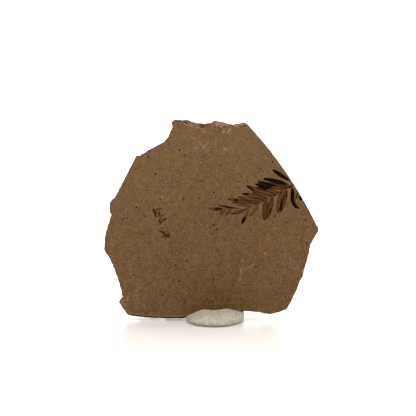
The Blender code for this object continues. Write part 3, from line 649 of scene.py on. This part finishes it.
def rim_rows(outline, along):
    """Rows round the rim from the front edge to the back: (depth, setback), each along the whole rim."""
    loose = loose_rim(outline)
    lower_left = ramp(-outline[:, 1], -9.0, -3.0) * ramp(-outline[:, 0], 14.0, 18.0)
    bevel = 0.3 + 0.9 * lower_left
    first = 0.9 * bevel
    last = np.full(len(outline), PLATE_THICKNESS - BACK_BEVEL)
    rows = [(first * share, bevel * (1 - math.sin(share * math.pi / 2))) for share in BEVEL_SHARES]
    steps = np.array(FINE_ROW_STEPS + ROW_STEPS)
    for share in np.cumsum(steps)[:-1] / steps.sum():
        depth = first + (last - first) * share
        rows.append((depth, setback(depth, along, loose)))
    last_setback = setback(last + 0.2, along, loose)
    for deeper, inward in ((0.0, 0.0), (0.3, 0.2), (BACK_BEVEL, BACK_BEVEL)):
        rows.append((last + deeper, last_setback + inward))
    return rows


def rim_blocks(outline, normal, along, rows):
    """Plate points of every row, with the roughness of the broken stone."""
    loose = loose_rim(outline)
    thickness = local_thickness(outline)
    blocks = []
    for number, (depth, inset) in enumerate(rows):
        rough = np.zeros(len(outline))
        if number > 3:
            long = np.array([noise.noise(Vector((a * 0.9, d * 1.1, 3.3))) for a, d in zip(along, depth)])
            short = np.array([noise.noise(Vector((a * 2.1, d * 3.4, 8.1))) for a, d in zip(along, depth)])
            rough = (np.abs(0.13 * long + 0.07 * short) + 0.03) * loose * min(1.0, (number - 3) / 3)
        place = outline - normal * (inset + rough)[:, None]
        blocks.append(np.stack([place[:, 0], depth * thickness / PLATE_THICKNESS, place[:, 1]], axis=1))
    return blocks


def near_marks(spots):
    """Distance of each spot to the nearest leaf, coaly remain or scrap."""
    fields = marks(spots)
    return np.minimum.reduce([fields[name] for name in ("film", "coal", "rust")])


def fill_front(ring):
    """Points and triangles of the front face, denser at the sprig, scraps, specks and chips."""
    coarse = lattice(FACE_STEP, 3)
    coarse = coarse[(near_marks(coarse) > 0.9) & (chip_distance(coarse) > 0.25)]
    specks = speck_points()
    gap = np.full(len(coarse), FAR)
    for speck in specks:
        gap = np.minimum(gap, np.hypot(*(coarse - speck).T))
    fine = lattice(SPRIG_STEP, 4)
    chipped = lattice(CHIP_STEP, 6)
    fine = fine[near_marks(fine) < 0.95]
    chipped = chipped[chip_distance(chipped) < 0.25]
    return fill(ring, [coarse[gap > 0.2], fine, chipped, specks])


def front_relief(spots):
    """Depth of the front face: its waves, its grain, and the marks pressed lightly into it."""
    depth = face_wave(spots) + 0.025 * noise_at(spots, 0.55, 2) + 0.018 * noise_at(spots, 1.6, 3)
    fields = marks(spots)
    ribbed = 0.05 + 0.04 * np.cos(np.clip(np.abs(fields["rib"]), 0, 0.6) * 5.2)
    depth += ramp(-fields["film"], -0.05, 0.25) * ribbed
    depth += 0.05 * ramp(-fields["coal"], -0.1, 0.2) + 0.05 * ramp(-fields["rust"], -0.1, 0.2)
    depth += 0.12 * ramp(-fields["speck"], -0.1, 0.15) + 0.05 * ramp(-fields["pale"], -0.1, 0.2)
    return depth


def back_relief(spots):
    """Depth of the back face: its splits, its waves and its grain."""
    grain = 0.10 * noise_at(spots, 0.22, 6) + 0.05 * noise_at(spots, 0.8, 7)
    return local_thickness(spots) - 2.0 * face_wave(spots) + grain


def surface_fields(points, flat, outline, rows, front_count):
    """The fields that the stone's material reads. Flat holds the places before the chips were struck."""
    count = len(outline)
    front_start = count * len(rows)
    back_start = front_start + front_count
    bevel_end = count * len(BEVEL_SHARES)
    whole = len(points)
    fields = marks(flat)

    def only(*ranges):
        """1 in the ranges of points, 0 elsewhere."""
        values = np.zeros(whole)
        for start, end in ranges:
            values[start:end] = 1.0
        return values

    on_front = only((0, bevel_end - count), (front_start, back_start))
    for name in ("film", "vein", "coal", "rust", "speck", "pale"):
        fields[name] = np.where(on_front > 0, fields[name], NOWHERE)
    gap = np.full(whole, 9.0)
    gap[:front_start] = 0.0
    gap[:bevel_end] = np.concatenate([inset for _, inset in rows[:len(BEVEL_SHARES)]])
    gap[front_start:back_start] = closed_distance(flat[front_start:back_start], outline)
    fields["edge_gap"] = gap
    fields["side"] = only((bevel_end, front_start))
    fields["behind"] = only((front_start - count, front_start), (back_start, whole))
    x, z = flat.T
    # Painted sheen: paler and greyer towards the top and to the left.
    fields["painted_sheen"] = 0.15 + 0.75 * ramp(z, 20.0, 95.0) + 0.2 * ramp(-x, 0.0, 45.0)
    # Painted shade: darker and yellower low in the middle, where the putty meets the plate; the small patch
    # in the middle of the face is a warmer tone of the stone.
    fields["shade_and_warm_tone"] = 0.75 * np.exp(-((x - 3.0) / 17.0) ** 2 - ((z - 2.0) / 15.0) ** 2)
    fields["shade_and_warm_tone"] += 0.25 * np.exp(-((x + 3.0) / 8.0) ** 2 - ((z - 53.0) / 5.0) ** 2)
    # Where the lower left edge gets its painted highlight strip and painted shadow line.
    fields["low_edge"] = ramp(-z, -4.5, -2.5) * ramp(-x, 8.0, 14.0)
    dipping = np.stack([points[:, 0], points[:, 2] + STREAK_DIP * points[:, 1]], axis=1)
    shallow = points[:, 1] < STREAK_DEPTH
    for stroke, tone in STREAKS:
        distance = np.where(shallow, stroke_distance(dipping, stroke), NOWHERE)
        keep_nearest(fields, "streak", distance, streak_tone=tone)
    return fields


def tube_faces(levels, count):
    """Quads between rings of points that lie one after another."""
    faces = []
    for low in range(0, (levels - 1) * count, count):
        for step in range(count):
            following = (step + 1) % count
            faces.append((low + step, low + following, low + count + following, low + count + step))
    return faces


def store(mesh, name, values, kind="FLOAT", key="value"):
    """Keeps one value for each point as an attribute that the material reads."""
    layer = mesh.attributes.new(name, kind, "POINT")
    layer.data.foreach_set(key, values.astype(np.float32).ravel())


def plate_mesh():
    """The whole plate as one closed mesh, with its fields as point attributes."""
    outline, normal, along = rim_outline()
    rows = rim_rows(outline, along)
    blocks = rim_blocks(outline, normal, along, rows)
    front, front_faces = fill_front(blocks[0][:, [0, 2]])
    back, back_faces = fill(blocks[-1][:, [0, 2]], [lattice(BACK_STEP, 5)])
    points = np.concatenate(blocks + [
        np.stack([front[:, 0], front_relief(front), front[:, 1]], axis=1),
        np.stack([back[:, 0], back_relief(back), back[:, 1]], axis=1),
    ])
    count = len(outline)
    front_start = count * len(rows)
    back_start = front_start + len(front)
    faces = tube_faces(len(rows), count)
    for face in front_faces:
        faces.append([i if i < count else front_start + i - count for i in reversed(face)])
    for face in back_faces:
        faces.append([front_start - count + i if i < count else back_start + i - count for i in face])
    flat = points[:, [0, 2]].copy()
    fresh_and_lit = strike_chips(points)
    fields = surface_fields(points, flat, outline, rows, len(front))
    fields["fresh_and_lit"] = fresh_and_lit

    mesh = bpy.data.meshes.new("plate_visual")
    mesh.from_pydata(from_plate(points).tolist(), [], faces)
    mesh.update()
    for name, values in fields.items():
        store(mesh, name, values)
    store(mesh, "spot", points, "FLOAT_VECTOR", "vector")
    lay_out_map(mesh, flat, along, rows, len(front_faces))
    mesh.shade_smooth()
    mesh.set_sharp_from_angle(angle=math.radians(40))
    return mesh


def lay_out_map(mesh, flat, along, rows, front_faces):
    """A map that gives the front face most of its room, and the rim and back the rest."""
    layer = mesh.uv_layers.new(name="OFBake")
    count = len(along)
    rim_faces = (len(rows) - 1) * count
    rim_length = along[-1] + RIM_STEP
    lane_length = rim_length / RIM_LANES + 1.0
    down = [0.0]
    for (depth, inset), (next_depth, next_inset) in zip(rows, rows[1:]):
        down.append(down[-1] + float(np.mean(np.hypot(next_depth - depth, next_inset - inset))))
    down = np.array(down) * RIM_DEPTH / down[-1]
    vertex_of = np.zeros(len(mesh.loops), int)
    mesh.loops.foreach_get("vertex_index", vertex_of)
    uv = np.zeros((len(mesh.loops), 2))
    for number, polygon in enumerate(mesh.polygons):
        loops = slice(polygon.loop_start, polygon.loop_start + polygon.loop_total)
        corners = vertex_of[loops]
        if number < rim_faces:
            column = number % count
            lane = min(RIM_LANES - 1, int(along[column] / lane_length))
            level, place = np.divmod(corners, count)
            where = np.where((place == 0) & (column == count - 1), rim_length, along[place])
            patch = np.stack([down[level], where - lane * lane_length], 1) * RIM_SCALE
            patch += (RIM_CORNER[0] + lane * LANE_WIDTH, RIM_CORNER[1])
        elif number < rim_faces + front_faces:
            patch = (flat[corners] + (51.0, 0.5)) * FRONT_SCALE + FRONT_CORNER
        else:
            patch = (flat[corners] * (-1.0, 1.0) + (52.0, 1.0)) * BACK_SCALE + BACK_CORNER
        uv[loops] = patch / MAP_SIZE
    layer.data.foreach_set("uv", uv.astype(np.float32).ravel())


class Wiring:
    """Short calls that build the nodes of one new material."""

    def __init__(self, name):
        self.material = bpy.data.materials.new(name)
        self.material.use_nodes = True
        self.nodes = self.material.node_tree.nodes
        self.shader = self.nodes["Principled BSDF"].inputs

    def put(self, socket, value):
        if isinstance(value, bpy.types.NodeSocket):
            self.material.node_tree.links.new(value, socket)
        else:
            socket.default_value = value

    def attribute(self, name, output="Fac"):
        node = self.nodes.new("ShaderNodeAttribute")
        node.attribute_name = name
        return node.outputs[output]

    def calc(self, operation, a, b=0.0, clamp=False):
        node = self.nodes.new("ShaderNodeMath")
        node.operation = operation
        node.use_clamp = clamp
        self.put(node.inputs[0], a)
        self.put(node.inputs[1], b)
        return node.outputs[0]

    def times(self, a, b, clamp=False):
        return self.calc("MULTIPLY", a, b, clamp)

    def plus(self, a, b):
        return self.calc("ADD", a, b)

    def span(self, value, low, high, to_low=0.0, to_high=1.0):
        node = self.nodes.new("ShaderNodeMapRange")
        node.interpolation_type = "SMOOTHSTEP"
        for name, number in zip(("Value", "From Min", "From Max", "To Min", "To Max"),
                                (value, low, high, to_low, to_high)):
            self.put(node.inputs[name], number)
        return node.outputs["Result"]

    def grain(self, vector, scale, detail=2.0, roughness=0.5):
        node = self.nodes.new("ShaderNodeTexNoise")
        self.put(node.inputs["Vector"], vector)
        node.inputs["Scale"].default_value = scale
        node.inputs["Detail"].default_value = detail
        node.inputs["Roughness"].default_value = roughness
        return node.outputs["Fac"]

    def swing(self, strength, vector, scale, detail=2.0, roughness=0.5):
        """Noise either side of zero."""
        return self.times(self.calc("SUBTRACT", self.grain(vector, scale, detail, roughness), 0.5), strength)

    def mix(self, share, a, b):
        node = self.nodes.new("ShaderNodeMix")
        node.data_type = "RGBA"
        self.put(node.inputs["Factor"], share)
        for socket, value in ((node.inputs[6], a), (node.inputs[7], b)):
            self.put(socket, value if isinstance(value, bpy.types.NodeSocket) else (*value, 1.0))
        return node.outputs[2]

    def stretched(self, vector, scale):
        node = self.nodes.new("ShaderNodeMapping")
        self.put(node.inputs["Vector"], vector)
        node.inputs["Scale"].default_value = scale
        return node.outputs["Vector"]

    def bump(self, height, distance, strength, under=None):
        node = self.nodes.new("ShaderNodeBump")
        self.put(node.inputs["Height"], height)
        node.inputs["Distance"].default_value = distance
        node.inputs["Strength"].default_value = strength
        if under is not None:
            self.put(node.inputs["Normal"], under)
        return node.outputs["Normal"]


def stone_material():
    """Fine brown mudstone with its leaf film, scraps, specks, fresh chips and bedded rim, and painted sheen,
    shade and highlights.
    """
    t = Wiring("mudstone")
    spot = t.attribute("spot", "Vector")
    mottle = t.swing(2.0, spot, 1.3, 2.0, 0.55)
    colour = plain_stone(t, spot, mottle)
    side = t.attribute("side")
    layers = t.grain(t.stretched(spot, (0.16, 1.9, 0.16)), 1.0, 3.0, 0.55)
    bedded = t.mix(t.span(layers, 0.38, 0.60), STONE_DARK, STONE_LIGHT)
    colour = t.mix(t.times(side, 0.7), colour, bedded)
    stain = t.times(t.attribute("behind"), t.span(t.grain(spot, 0.09, 4.0, 0.6), 0.45, 0.62))
    colour = t.mix(t.times(stain, 0.5), colour, BACK_STAIN)
    colour = edge_painted_light(t, spot, mottle, colour)
    colour = chips_fresh_and_lit(t, spot, colour)
    colour, coal = plant_marks(t, spot, colour)
    t.put(t.shader["Base Color"], colour)
    rough = t.plus(0.9, t.times(mottle, 0.12))
    t.put(t.shader["Roughness"], t.calc("SUBTRACT", rough, t.times(coal, 0.25)))
    t.shader["Specular IOR Level"].default_value = 0.03
    coarse_bump = t.bump(t.grain(spot, 0.9, 3.0, 0.6), 0.00012, 0.6)
    fine_bump = t.bump(mottle, 0.00003, 0.8, coarse_bump)
    t.put(t.shader["Normal"], t.bump(t.times(layers, side), 0.00030, 0.6, fine_bump))
    return t.material


def plain_stone(t, spot, mottle):
    """The plain stone: mottled grain over broad tones, with a painted sheen that makes it paler and greyer
    upward and to the left, and painted shade that makes it darker and warmer low in the middle by the putty.
    """
    colour = t.mix(t.span(t.grain(spot, 0.16, 3.0, 0.55), 0.35, 0.65), STONE, STONE_PINK)
    # Painted sheen towards the top and the left.
    colour = t.mix(t.attribute("painted_sheen"), colour, STONE_SHEEN)
    # Painted shade by the putty, and a warmer patch in the middle of the face.
    colour = t.mix(t.attribute("shade_and_warm_tone"), colour, STONE_WARM_SHADE)
    colour = t.mix(t.times(t.span(t.grain(spot, 0.05), 0.4, 0.65), 0.12), colour, STONE_DARK)
    hue = t.grain(spot, 0.14, 3.0, 0.6)
    colour = t.mix(t.span(hue, 0.52, 0.66, 0.0, 0.5), colour, STONE_OLIVE)
    colour = t.mix(t.span(hue, 0.48, 0.34, 0.0, 0.45), colour, STONE_RED)
    strength = t.plus(mottle, t.swing(1.1, spot, 0.36, 2.0, 0.6))
    colour = t.mix(t.times(strength, 1.0, clamp=True), colour, STONE_LIGHT)
    colour = t.mix(t.times(strength, -1.0, clamp=True), colour, STONE_DARK)
    dots = t.span(t.grain(spot, 0.85, 0.0), 0.70, 0.80)
    colour = t.mix(t.times(dots, 0.6), colour, STONE_DARK)
    blush = t.span(t.grain(spot, 1.3, 1.0), 0.62, 0.78)
    crowded = t.span(t.grain(spot, 0.10), 0.46, 0.60, 0.15, 0.65)
    return t.mix(t.times(blush, crowded), colour, STONE_BLUSH)


def edge_painted_light(t, spot, mottle, colour):
    """Painted shade as a darker rim round the face, and along its lower left edge a painted highlight strip
    with a painted shadow line outside it.
    """
    gap = t.attribute("edge_gap")
    # Painted shade: darker within a fraction of a millimetre of the rim.
    rim_gap = t.plus(gap, t.times(mottle, 0.5))
    colour = t.mix(t.times(t.span(rim_gap, 0.6, 0.1), 0.6), colour, STONE_RIM_SHADE)
    # Painted highlight: a pale patchy strip along the lower left bevel.
    low_edge = t.attribute("low_edge")
    patchy = t.span(t.grain(spot, 0.6), 0.40, 0.60, 0.1, 0.85)
    strip = t.times(t.span(gap, 1.8, 1.45), t.span(gap, 0.75, 1.0))
    colour = t.mix(t.times(t.times(strip, low_edge), patchy), colour, LOW_EDGE_HIGHLIGHT)
    # Painted shadow: a dark line at the outer lower left edge.
    outer = t.times(t.span(gap, 0.95, 0.7), low_edge)
    return t.mix(t.times(outer, 0.75), colour, LOW_EDGE_SHADOW)


def chips_fresh_and_lit(t, spot, colour):
    """Pale stone in the chips, fresh and partly painted light, palest in the top chips that face upward, and
    the streaks of its layers along the top edge.
    """
    layers = t.grain(t.stretched(spot, (0.10, 2.3, 0.10)), 1.0, 1.0)
    tone = t.mix(t.span(layers, 0.40, 0.56), CHIP_DARK, CHIP_LIGHT)
    patchy = t.span(t.grain(spot, 0.8), 0.3, 0.5, 0.5, 0.9)
    # Painted light and fresh stone: the chips are painted paler, the top ones most.
    colour = t.mix(t.times(t.attribute("fresh_and_lit"), patchy), colour, tone)
    streak = t.span(t.plus(t.attribute("streak"), t.swing(0.7, spot, 0.8)), 0.20, -0.10)
    streak = t.times(streak, t.attribute("streak_tone"))
    colour = t.mix(t.calc("MAXIMUM", streak, 0.0), colour, STREAK_LIGHT)
    return t.mix(t.calc("MAXIMUM", t.times(streak, -1.0), 0.0), colour, STREAK_DARK)


def plant_marks(t, spot, colour):
    """Leaf film with a painted highlight round it, rusty scraps, specks, pale marks and coal; returns the
    colour and how fully coal covers.
    """
    waver = t.swing(0.42, spot, 2.4)

    def cover(name, strays, low, high):
        """How fully a mark covers the stone; its edge strays with the waver."""
        return t.span(t.plus(t.attribute(name), t.times(waver, strays)), low, high)

    film_at = t.plus(t.attribute("film"), waver)
    film = t.times(t.span(film_at, 0.14, -0.10), t.attribute("film_tone"))
    torn = t.span(t.grain(spot, 1.3, 3.0, 0.6), 0.3, 0.5, 0.5, 1.0)
    colour = t.mix(t.times(film, t.span(torn, 0.5, 1.0, 0.85, 1.2)), colour, LEAF_BROWN)
    line = t.times(cover("vein", 0.5, 0.34, 0.06), t.attribute("vein_tone"))
    colour = t.mix(t.times(line, t.span(torn, 0.5, 0.8, 0.75, 1.0)), colour, LEAF_LINE)
    rib = t.span(t.calc("ABSOLUTE", t.attribute("rib")), 0.30, 0.08)
    colour = t.mix(t.times(t.times(rib, t.span(film_at, -0.3, -0.5)), 0.5), colour, LEAF_LINE)
    # Painted highlight: a faint pale ring just outside each leaflet.
    leaf_edge_highlight = t.span(t.calc("ABSOLUTE", t.calc("SUBTRACT", film_at, 0.36)), 0.24, 0.04)
    colour = t.mix(t.times(leaf_edge_highlight, 0.14), colour, STONE_LIGHT)

    scraps = t.span(t.grain(spot, 1.3, 3.0, 0.6), 0.34, 0.50, 0.6, 1.0)
    rust = t.times(cover("rust", 1.6, 0.30, -0.12), t.span(t.attribute("rust_tone"), 0.0, 0.85))
    rust_colour = t.mix(t.span(t.grain(spot, 1.1), 0.38, 0.58), RUST_BROWN, RUST_DARK)
    rust_colour = t.mix(t.attribute("rust_black"), rust_colour, COAL_BLACK)
    colour = t.mix(t.times(rust, scraps), colour, rust_colour)
    speck = t.times(cover("speck", 0.8, 0.28, 0.02), t.span(t.attribute("speck_tone"), 0.0, 0.85))
    colour = t.mix(speck, colour, SPECK_BROWN)
    pale = t.times(cover("pale", 2.2, 0.45, -0.35), t.attribute("pale_tone"))
    crumbs = t.span(t.grain(spot, 1.5, 2.0, 0.6), 0.38, 0.58, 0.15, 1.0)
    colour = t.mix(t.times(t.times(pale, crumbs), 1.35, clamp=True), colour, PALE_MARK)

    coal_tone = t.attribute("coal_tone")
    coal_at = t.plus(t.attribute("coal"), t.plus(waver, t.swing(0.9, spot, 1.1, 2.0, 0.6)))
    coal = t.times(t.span(coal_at, 0.14, -0.12), coal_tone)
    crackle = t.span(t.grain(spot, 1.3, 3.0, 0.7), 0.58, 0.70)
    coal_colour = t.mix(t.span(coal_tone, 0.5, 0.95), LEAF_LINE, COAL_BLACK)
    coal_colour = t.mix(t.times(crackle, 0.8), coal_colour, LEAF_LINE)
    return t.mix(coal, colour, coal_colour), coal


def putty_material():
    """Pale grey putty, finely speckled, painted darker towards the bottom and paler on top as painted shade
    and light.
    """
    t = Wiring("display_putty")
    spot = t.attribute("spot", "Vector")
    fine = t.grain(spot, 1.5, 2.0, 0.6)
    grit = t.grain(spot, 1.2)
    tint = t.grain(spot, 0.9)
    split = t.nodes.new("ShaderNodeSeparateXYZ")
    t.put(split.inputs[0], spot)
    height = split.outputs["Z"]
    colour = t.mix(t.span(t.grain(spot, 0.3), 0.35, 0.65), PUTTY_GREY, PUTTY_PALE)
    # Painted shade and light: darker towards the bottom, dark grey at the foot, and paler on top; the green
    # and pink tints and the grit are the putty's own colour.
    for share, tone in (
        (t.span(height, 3.4, 0.6, 0.0, 0.75), PUTTY_LOW_SHADE),
        (t.span(height, 4.2, 5.2, 0.0, 0.5), PUTTY_TOP_LIGHT),
        (t.span(height, 0.7, 0.2), PUTTY_SHADE),
        (t.span(tint, 0.52, 0.66, 0.0, 0.35), PUTTY_GREEN),
        (t.span(tint, 0.48, 0.34, 0.0, 0.35), PUTTY_PINK),
        (t.span(fine, 0.52, 0.34, 0.0, 0.75), GRIT_DARK),
        (t.span(grit, 0.52, 0.68, 0.0, 0.55), GRIT_LIGHT),
    ):
        colour = t.mix(share, colour, tone)
    t.put(t.shader["Base Color"], colour)
    t.put(t.shader["Roughness"], t.span(grit, 0.3, 0.7, 0.62, 0.8))
    t.shader["Specular IOR Level"].default_value = 0.35
    dents = t.bump(t.grain(spot, 0.7, 3.0, 0.6), 0.00025, 0.6)
    t.put(t.shader["Normal"], t.bump(fine, 0.00010, 0.8, dents))
    return t.material


def table_material():
    """A matt white table top."""
    t = Wiring("white_table")
    place = t.nodes.new("ShaderNodeTexCoord").outputs["Object"]
    t.put(t.shader["Base Color"], t.mix(t.grain(place, 40.0), TABLE_WHITE, TABLE_PALE))
    t.put(t.shader["Roughness"], t.span(t.grain(place, 90.0), 0.3, 0.7, 0.75, 0.9))
    t.shader["Specular IOR Level"].default_value = 0.1
    t.put(t.shader["Normal"], t.bump(t.grain(place, 900.0), 0.00002, 0.2))
    return t.material


def putty_point(share, spin):
    """A point of the lump's skin in millimetres, at a share of its height and a turn round it."""
    right = 0.5 + 0.5 * math.cos(spin)
    if share < PUTTY_WAIST:
        below = 1 - share / PUTTY_WAIST
        size = 1 - (1 - PUTTY_FOOT) * below * below
    else:
        above = (share - PUTTY_WAIST) / (1 - PUTTY_WAIST)
        blunt = BLUNT_LEFT + (BLUNT_RIGHT - BLUNT_LEFT) * right
        size = (1 - above ** blunt) ** (1 / blunt)
    size *= 1 + 0.05 * math.sin(2 * spin) ** 2
    size *= 1 + 0.035 * noise.noise(Vector((1.6 * math.cos(spin), 1.6 * math.sin(spin), 5.0 + share)))
    x = (PUTTY_RIGHT if math.cos(spin) > 0 else PUTTY_LEFT) * math.cos(spin) * size
    y = (PUTTY_BACK if math.sin(spin) > 0 else PUTTY_FRONT) * math.sin(spin) * size
    z = PUTTY_HEIGHT * share
    if share > 0:
        skin = 0.10 * noise.noise(Vector((x, y, z)) * 0.8) + 0.06 * noise.noise(Vector((x, y, z)) * 2.2)
        z += FINGER_DENT * (0.4 - math.cos(x * 0.55)) * share * ramp(share, 0.3, 0.5) + skin
        x *= 1 + skin / 12
        y *= 1 + skin / 12
    return x + PUTTY_CENTRE, y, z


def putty_mesh():
    """The pressed lump, with the finger's hollows and a grainy skin."""
    shares = [math.sin(math.pi / 2 * row / PUTTY_ROWS) for row in range(PUTTY_ROWS)]
    spins = [2 * math.pi * step / PUTTY_AROUND for step in range(PUTTY_AROUND)]
    points = np.array([putty_point(share, spin) for share in shares for spin in spins])
    top = len(points)
    last = top - PUTTY_AROUND
    points = np.concatenate([points, [points[last:].mean(axis=0)]])
    faces = tube_faces(PUTTY_ROWS, PUTTY_AROUND)
    for step in range(PUTTY_AROUND):
        faces.append((top, last + step, last + (step + 1) % PUTTY_AROUND))
    faces.append(tuple(reversed(range(PUTTY_AROUND))))
    mesh = bpy.data.meshes.new("putty_visual")
    shifted = points + np.array((SHIFT_ACROSS, SHIFT_BACK, 0.0))
    mesh.from_pydata((shifted * MM).tolist(), [], faces)
    mesh.update()
    store(mesh, "spot", points, "FLOAT_VECTOR", "vector")
    mesh.shade_smooth()
    return mesh


def add_object(name, data):
    """Links an object."""
    thing = bpy.data.objects.new(name, data)
    bpy.context.scene.collection.objects.link(thing)
    return thing


plate = add_object("plate", plate_mesh())
plate.data.materials.append(stone_material())
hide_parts("fossil_plate")
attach(plate, "root")

putty = add_object("putty", putty_mesh())
putty.data.materials.append(putty_material())
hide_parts("putty_stand")
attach(putty, "root")

table_mesh = bpy.data.meshes.new("table_top")
table_corners = [(-TABLE_HALF, -TABLE_HALF, 0), (TABLE_HALF, -TABLE_HALF, 0),
                 (TABLE_HALF, TABLE_HALF, 0), (-TABLE_HALF, TABLE_HALF, 0)]
table_mesh.from_pydata(table_corners, [], [(0, 1, 2, 3)])
floor = add_object("table_top", table_mesh)
table_mesh.materials.append(table_material())

scene = bpy.context.scene
world = bpy.data.worlds.new("studio")
world.use_nodes = True
world.node_tree.nodes["Background"].inputs["Color"].default_value = (1.0, 1.0, 1.0, 1.0)
world.node_tree.nodes["Background"].inputs["Strength"].default_value = ROOM_LIGHT
scene.world = world
for name, direction, spread, power, colour in PANELS:
    light = bpy.data.lights.new(name, "SUN")
    light.angle = math.radians(spread)
    light.energy = power
    light.color = colour
    lamp = add_object(name, light)
    lamp.location = direction
    lamp.rotation_euler = (-Vector(direction)).to_track_quat("-Z", "Y").to_euler()

scene.view_settings.view_transform = "Standard"
scene.view_settings.look = "None"
scene.view_settings.exposure = 0.0

camera = bpy.data.cameras.new("camera")
camera.lens = CAMERA_LENS
camera.sensor_width = 36.0
eye = add_object("camera", camera)
towards_eye = Vector((0, -math.cos(CAMERA_HEIGHT), math.sin(CAMERA_HEIGHT)))
eye.location = Vector(CAMERA_AIM) + CAMERA_DISTANCE * towards_eye
eye.rotation_euler = (math.pi / 2 - CAMERA_HEIGHT, 0, 0)
scene.camera = eye
